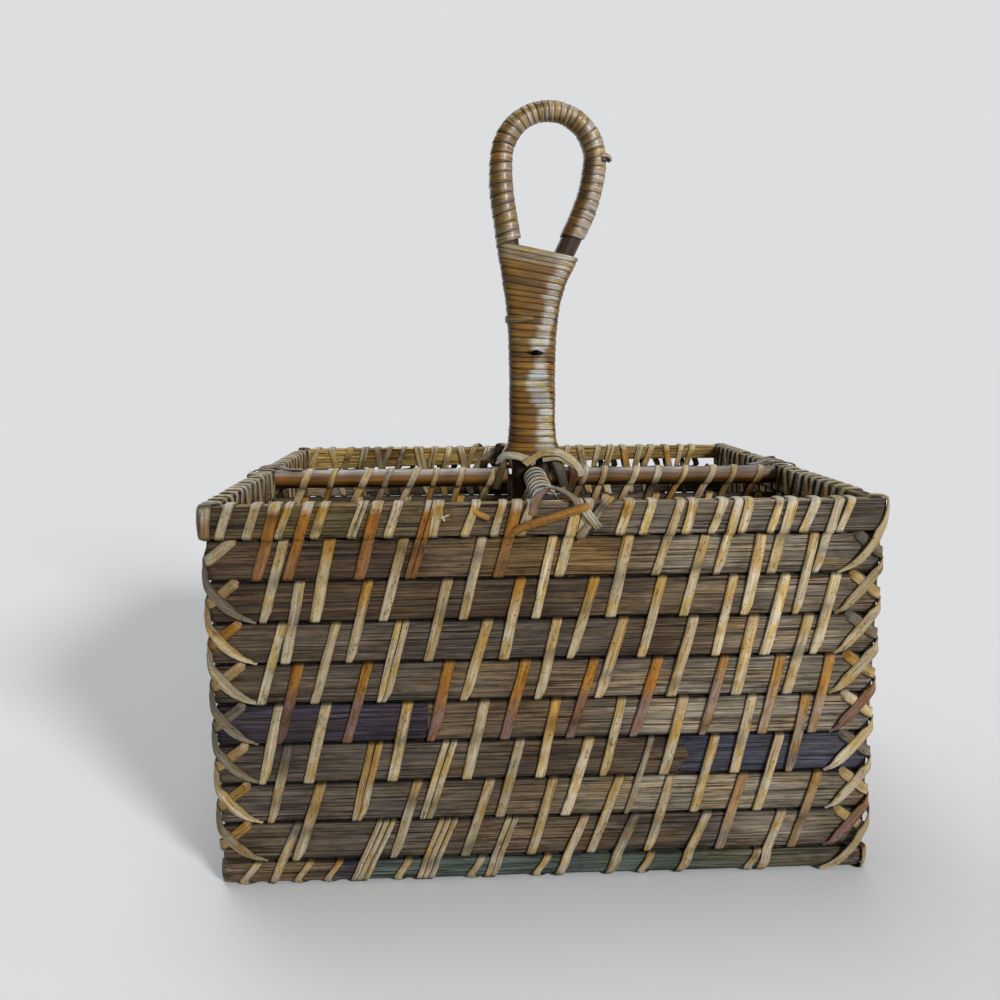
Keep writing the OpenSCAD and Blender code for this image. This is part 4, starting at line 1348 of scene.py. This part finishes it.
def loop_winding():
    """The loop's winding: broad turns on the legs, narrow ones over the top."""
    weave = Weave()
    rng = dice("loop winding")
    start = np.interp(STEM_TOP + RIGHT_BARE, LINE[:LINE_TOP, 1], LINE_RUN[:LINE_TOP])
    end = np.interp(-STEM_TOP - LEFT_BARE, -LINE[LINE_TOP:, 1], LINE_RUN[LINE_TOP:])
    turn = (np.arange(LOOP_TURNS) + 0.5) / LOOP_TURNS
    pitches = LOOP_PITCH - LOOP_PITCH_DROP * hump(turn, 0.47, 0.2) + rng.uniform(-0.6, 0.6, LOOP_TURNS)

    def on_loop(share, turns, b, lift):
        s = start + share * (end - start)
        angle = 2 * math.pi * (turns + 0.25)
        x, z = (np.interp(s, LINE_RUN, LINE[:, k]) for k in range(2))
        dx, dz = (np.interp(s, LINE_RUN, np.gradient(LINE[:, k], LINE_RUN)) for k in range(2))
        r = rod_radius(s) + FIT + b * WOUND_T + lift
        size = np.hypot(dx, dz)
        out = r * np.cos(angle)
        z = z - dx / size * out
        x = x + dz / size * out + sway(z)
        return np.stack((x, np.broadcast_to(r * np.sin(angle), x.shape), z), -1), s

    def dusty(tone, turns):
        """The tone under whitish patches on the right front of both legs, partly grey dust and partly painted
        highlight.
        """
        middle = np.interp(turns, *zip(*LOOP_DUST_AND_SHEEN_AT))
        share = np.interp(turns, *zip(*LOOP_DUST_AND_SHEEN))
        return mix(tone, LILAC * 1.6, share * ease(3 * np.cos(2 * math.pi * (turns - middle)) - 1.6))

    tones = stops(turn, LOOP_MARKS) * rng.uniform(0.65, 1.2, LOOP_TURNS)[:, None]
    wound(weave, LOOP_TURNS, LOOP_RINGS, pitches, on_loop, tones, rng, dusty)
    side = LINE[:, 0].max() + ROD_R + 0.9
    # The strip's end on the right: a pale lip bent down over a dark strip that stands for the shaded hollow
    # under it, as painted shade
    lip = ((side - 5.5, -3, LOOP_Z + 0.8), (side - 2.2, -3.6, LOOP_Z + 1.4),
           (side + 0.5, -1.4, LOOP_Z + 0.9), (side + 0.9, -0.9, LOOP_Z - 0.5))
    hollow = ((side - 3, -3.9, LOOP_Z - 0.1), (side - 1, -3, LOOP_Z), (side + 0.4, -1.6, LOOP_Z - 0.2))
    for points, first, last, width in ((lip, SAND, LILAC, 2), (hollow, TOFFEE, SOOT * 0.4, 2.4)):
        points = [(x + sway(z), y, z) for x, y, z in points]
        ribbon(weave, as_is, points, (0.6, -0.9, 0.4), lambda t: mix(first, last, ease(2 * t)), rng, width,
               1.2)
    weave.make("loop_cane", WOUND, "wound_cane", "loop_winding")


STEM_TURNS = 34
STEM_RINGS = 90
STEM_PITCH = 3.3
# Slope of the top turn, the turn that has the slit, and how much thicker the winding is at its foot
STEM_TILT = 0.19
STEM_SLIT = 17.487
STEM_FLARE = 1.3
# How much further the lowest turns reach to both sides
STEM_SKIRT = 2.6
# Angles from the right at which the loose end on the stem starts and ends, and its width
LAP_ANGLES = (205, 90)
LAP_POINTS = 9
LAP_W = 3.3
# How flat the winding lies between the legs, and how much it swells towards its top
STEM_FLATNESS = 2.6
STEM_SWELL = 0.08


def leg_at(z, side):
    """A leg's place along x at a height; side is 1 on the right, -1 on the left."""
    leg = LINE[:LINE_TOP] if side > 0 else LINE[:LINE_TOP:-1]
    return np.interp(z, leg[:, 1], leg[:, 0])


def on_stem(z, angle, r):
    """A place on the winding round both legs, at an angle from the right over the front."""
    right, left = leg_at(z, 1), leg_at(z, -1)
    reach = np.tanh(STEM_FLATNESS * np.cos(angle)) / math.tanh(STEM_FLATNESS)
    swell = 1 + STEM_SWELL * ease((z - FORK_Z) / (STEM_TOP - FORK_Z))
    x = (right + left) / 2 + (right - left) / 2 * reach + r * swell * np.cos(angle) + sway(z)
    return np.stack(np.broadcast_arrays(x, -r * np.sin(angle), z), -1)


# Turns up the stem, with the left and right end of the whitish patch there (angles from the right) and its
# share;
# the patch is partly grey dust and partly painted highlight
STEM_DUST_AND_SHEEN = ((0, 1.45, 0.8, 0.3), (3, 1.5, 0.75, 0.6), (9, 1.6, 0.8, 0.85), (11, 1.7, 1.1, 0.6),
             (13, 1.78, 1.2, 0.95), (15, 1.72, 1.15, 0.7), (17.3, 1.5, 1.3, 0.3), (18.5, 1.62, 1.2, 0.85),
             (22, 1.5, 0.9, 0.75), (27, 1.35, 0.8, 0.5), (34, 1.4, 0.7, 0.5))


def stem_worn(tone, turns):
    """The tone of the stem's winding: painted shade towards its left side, and whitish patches on its right
    front that are partly grey dust and partly painted highlight.
    """
    angle = 2 * math.pi * ((turns - 0.25) % 1)
    rng = dice("stem dust")
    places, *columns = zip(*STEM_DUST_AND_SHEEN)
    left, right, share = (np.interp(turns, places, column) for column in columns)
    left = left + wave(turns, rng, 1.3, 0.12)
    right = right + wave(turns, rng, 1.1, 0.15)
    share = share * (1 + wave(turns, rng, 1.7, 0.3))
    share = share * ease((left - angle) / 0.14) * ease((angle - right) / 0.3 + 0.8)
    # Painted shade on the stem's left side
    tone = tone * (1 - 0.45 * hump(angle, 2.8, 0.55))[:, None]
    return mix(tone, FROST, np.clip(share, 0, 1))


def stem_winding():
    """The winding round both legs: it flares at its foot, and its upper turns tilt down to the right."""
    weave = Weave()
    rng = dice("stem winding")
    pitches = STEM_PITCH + rng.uniform(-1.2, 1.0, STEM_TURNS)
    middle = (leg_at(STEM_TOP, 1) + leg_at(STEM_TOP, -1)) / 2 + SWAY

    def point(share, turns, b, lift):
        z = STEM_Z + share * (STEM_TOP - STEM_Z)
        angle = 2 * math.pi * (turns - 0.25)
        p = on_stem(z, angle, ROD_R + FIT + b * WOUND_T + lift + STEM_FLARE * (1 - ease(share / 0.2)))
        p[..., 0] += STEM_SKIRT * (1 - ease(share / 0.09)) * np.cos(angle)
        tilt = STEM_TILT * ease((share - 0.45) / 0.5)
        p[..., 2] -= tilt * (p[..., 0] - middle)
        return p, z

    kinds = (HONEY, HONEY, HONEY, HONEY, SAND, mix(HONEY, TOFFEE, 0.5))
    tones = [kinds[rng.integers(len(kinds))] * rng.uniform(0.75, 1.5) for k in range(STEM_TURNS)]
    # The top three turns are paler
    for k in range(1, 4):
        tones[-k] = mix(tones[-k], TAN, 0.55)
    wound(weave, STEM_TURNS, STEM_RINGS, pitches, point, tones, rng, stem_worn, STEM_SLIT)
    # The loose end of a strip, two thirds of the way up on the left
    angle = np.radians(np.linspace(*LAP_ANGLES, LAP_POINTS))
    lap_z = (STEM_Z + 2 * STEM_TOP) / 3 + 0.8 + 0.15 * np.linspace(0, 1, LAP_POINTS)
    lap = on_stem(lap_z, angle, np.full(LAP_POINTS, ROD_R + FIT + WOUND_T + 0.3))
    facing = np.stack((np.cos(angle), -np.sin(angle), 0 * angle), -1)
    ribbon(weave, as_is, lap, facing, lambda t: mix(HONEY, SAND * 0.8, t), rng, LAP_W, CANE_T, (1, 0.6))
    weave.make("stem_cane", WOUND, "wound_cane", "stem_winding")


def collar_lashing():
    """Loose straps round the foot of the stem, before and behind it, that run down onto the rails."""
    weave = Weave()
    up = RIM_TOP
    flare = ((-14.6, -3.8, up + 2.6), (-10.8, -6.4, up + 6.2), (-5.9, -7.8, up + 6.4), (-1.5, -8.2, up + 5),
             (3, -8.2, up + 4))
    arch = ((-2.4, -13, up + 2.8), (1, -11, up + 5), (5.5, -9.2, up + 7.2), (12.6, -7.8, up + 7.8),
            (17, -6.4, up + 5.8), (21, -5.6, up + 2.6), (23.6, -5.2, up - 1), (24.2, -5, up - 3.4))
    under = ((6, -8, up + 4.6), (12.6, -7.2, up + 5.2), (17.4, -6.1, up + 3.2), (21.4, -5.2, up + 0.6))
    # Strips that come down from the collar onto the rails on both sides of the legs, darkened as painted
    # shade
    left = ((-11, -4.8, up + 4.5), (-13, -5.2, up - 2), (-15, -4.6, up - 9))
    right = ((19.6, -5, up + 3), (20.4, -5.4, up - 3), (19.4, -4.8, up - 9))
    fold = ((12.4, -5.8, up + 4), (14.6, -6, up - 2), (16.4, -5.2, up - 8))
    strips = (left, OLIVE * 0.6, 3.4), (right, RUST * 0.5, 3.6), (fold, GREY * 0.6, 4.4)
    forward = (0.1, -1, 0.35)
    for side in (0, 2):
        rng = dice("collar", side)
        place = turned(side)
        for points, colour, width in strips:
            # Painted shade: each strip darkens towards its lower end, under the collar
            ribbon(weave, place, points, forward, lambda t: mix(colour, SOOT, 0.6 * t), rng, width)
        ribbon(weave, place, flare, forward, lambda t: mix(SILVER, STRAW, ease(t)), rng, 3.7, taper=(0.3, 1))
        ribbon(weave, place, under, forward, lambda t: mix(GREY, STRAW, 0.4), rng, 2.6)
        ribbon(weave, place, arch, ((0, -0.6, 0.8),) * 3 + (forward,) * 5,
               lambda t: mix(mix(STRAW, LILAC, 0.3), SILVER, ease(2 * t - 0.5)), rng, 3.7)
    weave.make("collar_cane", CANE, "cane", "collar_lashing")


for wall in range(4):
    for row in range(1, ROW_COUNT + 1):
        wall_splint(wall, row)
    wall_stitches(wall)
rim_bands()
rim_lashing()
foot_rails()
foot_lashing()
corner_lacing()
base()
for wall, name, node in ((3, "rail_left", "long_rail_left"), (1, "rail_right", "long_rail_right"),
                         (0, "rail_front", "cross_rail_front"), (2, "rail_back", "cross_rail_back")):
    divider_rail(wall, name, node)
divider_panel((1, 3), "long_divider")
divider_panel((0, 2), "cross_divider")
rail_ties()
handle_rod()
loop_winding()
stem_winding()
collar_lashing()


# Camera, from the photograph's view: place in millimetres, angles in degrees, and a focal length in pixels

CAMERA_AT = (-30.3, -411.8, 192.7)
CAMERA_YAW = 2.42
CAMERA_PITCH = 8.98
CAMERA_ROLL = -0.3
FOCAL_PIXELS = 900
FRAME_PIXELS = 1000
SENSOR_W = 36


def set_axes(item, right, top, back, at):
    """Turn an object's own axes to three directions, and put it at a place in metres."""
    rows = [(*axes, place) for axes, place in zip(zip(right, top, back), at)]
    item.matrix_world = Matrix(rows + [(0, 0, 0, 1)])


def make_camera():
    yaw, pitch, roll = (math.radians(a) for a in (CAMERA_YAW, CAMERA_PITCH, CAMERA_ROLL))
    ahead = np.array((math.sin(yaw) * math.cos(pitch), math.cos(yaw) * math.cos(pitch), -math.sin(pitch)))
    level = np.array((math.cos(yaw), -math.sin(yaw), 0))
    top = np.cross(level, ahead)
    right = math.cos(roll) * level + math.sin(roll) * top
    top = math.cos(roll) * top - math.sin(roll) * level
    data = bpy.data.cameras.new("camera")
    data.sensor_width = SENSOR_W
    data.lens = SENSOR_W * FOCAL_PIXELS / FRAME_PIXELS
    data.clip_start = 0.01
    camera = put("camera", data)
    set_axes(camera, right, top, -ahead, np.array(CAMERA_AT) * MM)
    bpy.context.scene.camera = camera


# Floor and light, in metres

FLOOR_SPAN = 40
FLOOR_COLOUR = (0.74, 0.75, 0.76, 1)
BACKDROP = (0.716, 0.7305, 0.74, 1)
SKY = (0.96, 0.98, 1, 1)
SKY_STRENGTH = 0.2
# Lamps: the direction from the caddy, the strength, and the spread in degrees
LAMPS = {
    "key": ((0.7, -0.9, 0.5), 2.7, 12),
    "front": ((0.25, -1, 0.12), 0.35, 30),
    "top": ((-0.1, 0.3, 1), 1.1, 40),
    "back": ((-0.6, 1, 0.4), 0.8, 40),
}
LAMP_DISTANCE = 2


def make_floor():
    mesh = bpy.data.meshes.new("floor")
    side = FLOOR_SPAN / 2
    corners = [(x * side, y * side, 0) for x, y in ((-1, -1), (1, -1), (1, 1), (-1, 1))]
    mesh.from_pydata(corners, [], [(0, 1, 2, 3)])
    material = bpy.data.materials.new("pale floor")
    material.use_nodes = True
    shader = material.node_tree.nodes["Principled BSDF"]
    shader.inputs["Base Color"].default_value = FLOOR_COLOUR
    shader.inputs["Roughness"].default_value = 0.9
    shader.inputs["Specular IOR Level"].default_value = 0
    mesh.materials.append(material)
    put("floor", mesh)


def sun(name, towards, strength, spread):
    """A soft lamp far away."""
    data = bpy.data.lights.new(name, "SUN")
    data.energy = strength
    data.angle = math.radians(spread)
    back = unit(np.array(towards, float))
    side = unit(np.cross(UP, back))
    set_axes(put(name, data), side, np.cross(back, side), back, LAMP_DISTANCE * back)


def make_light():
    world = bpy.data.worlds.new("studio")
    world.use_nodes = True
    nodes, links = world.node_tree.nodes, world.node_tree.links
    light = nodes["Background"]
    light.inputs["Color"].default_value = SKY
    light.inputs["Strength"].default_value = SKY_STRENGTH
    backdrop = nodes.new("ShaderNodeBackground")
    backdrop.inputs["Color"].default_value = BACKDROP
    rays = nodes.new("ShaderNodeLightPath")
    either = nodes.new("ShaderNodeMixShader")
    for k, source in enumerate((rays.outputs["Is Camera Ray"], light.outputs[0], backdrop.outputs[0])):
        links.new(source, either.inputs[k])
    links.new(either.outputs[0], nodes["World Output"].inputs["Surface"])
    bpy.context.scene.world = world
    for name, lamp in LAMPS.items():
        sun(name, *lamp)
    bpy.context.scene.view_settings.view_transform = "Standard"


make_camera()
make_floor()
make_light()
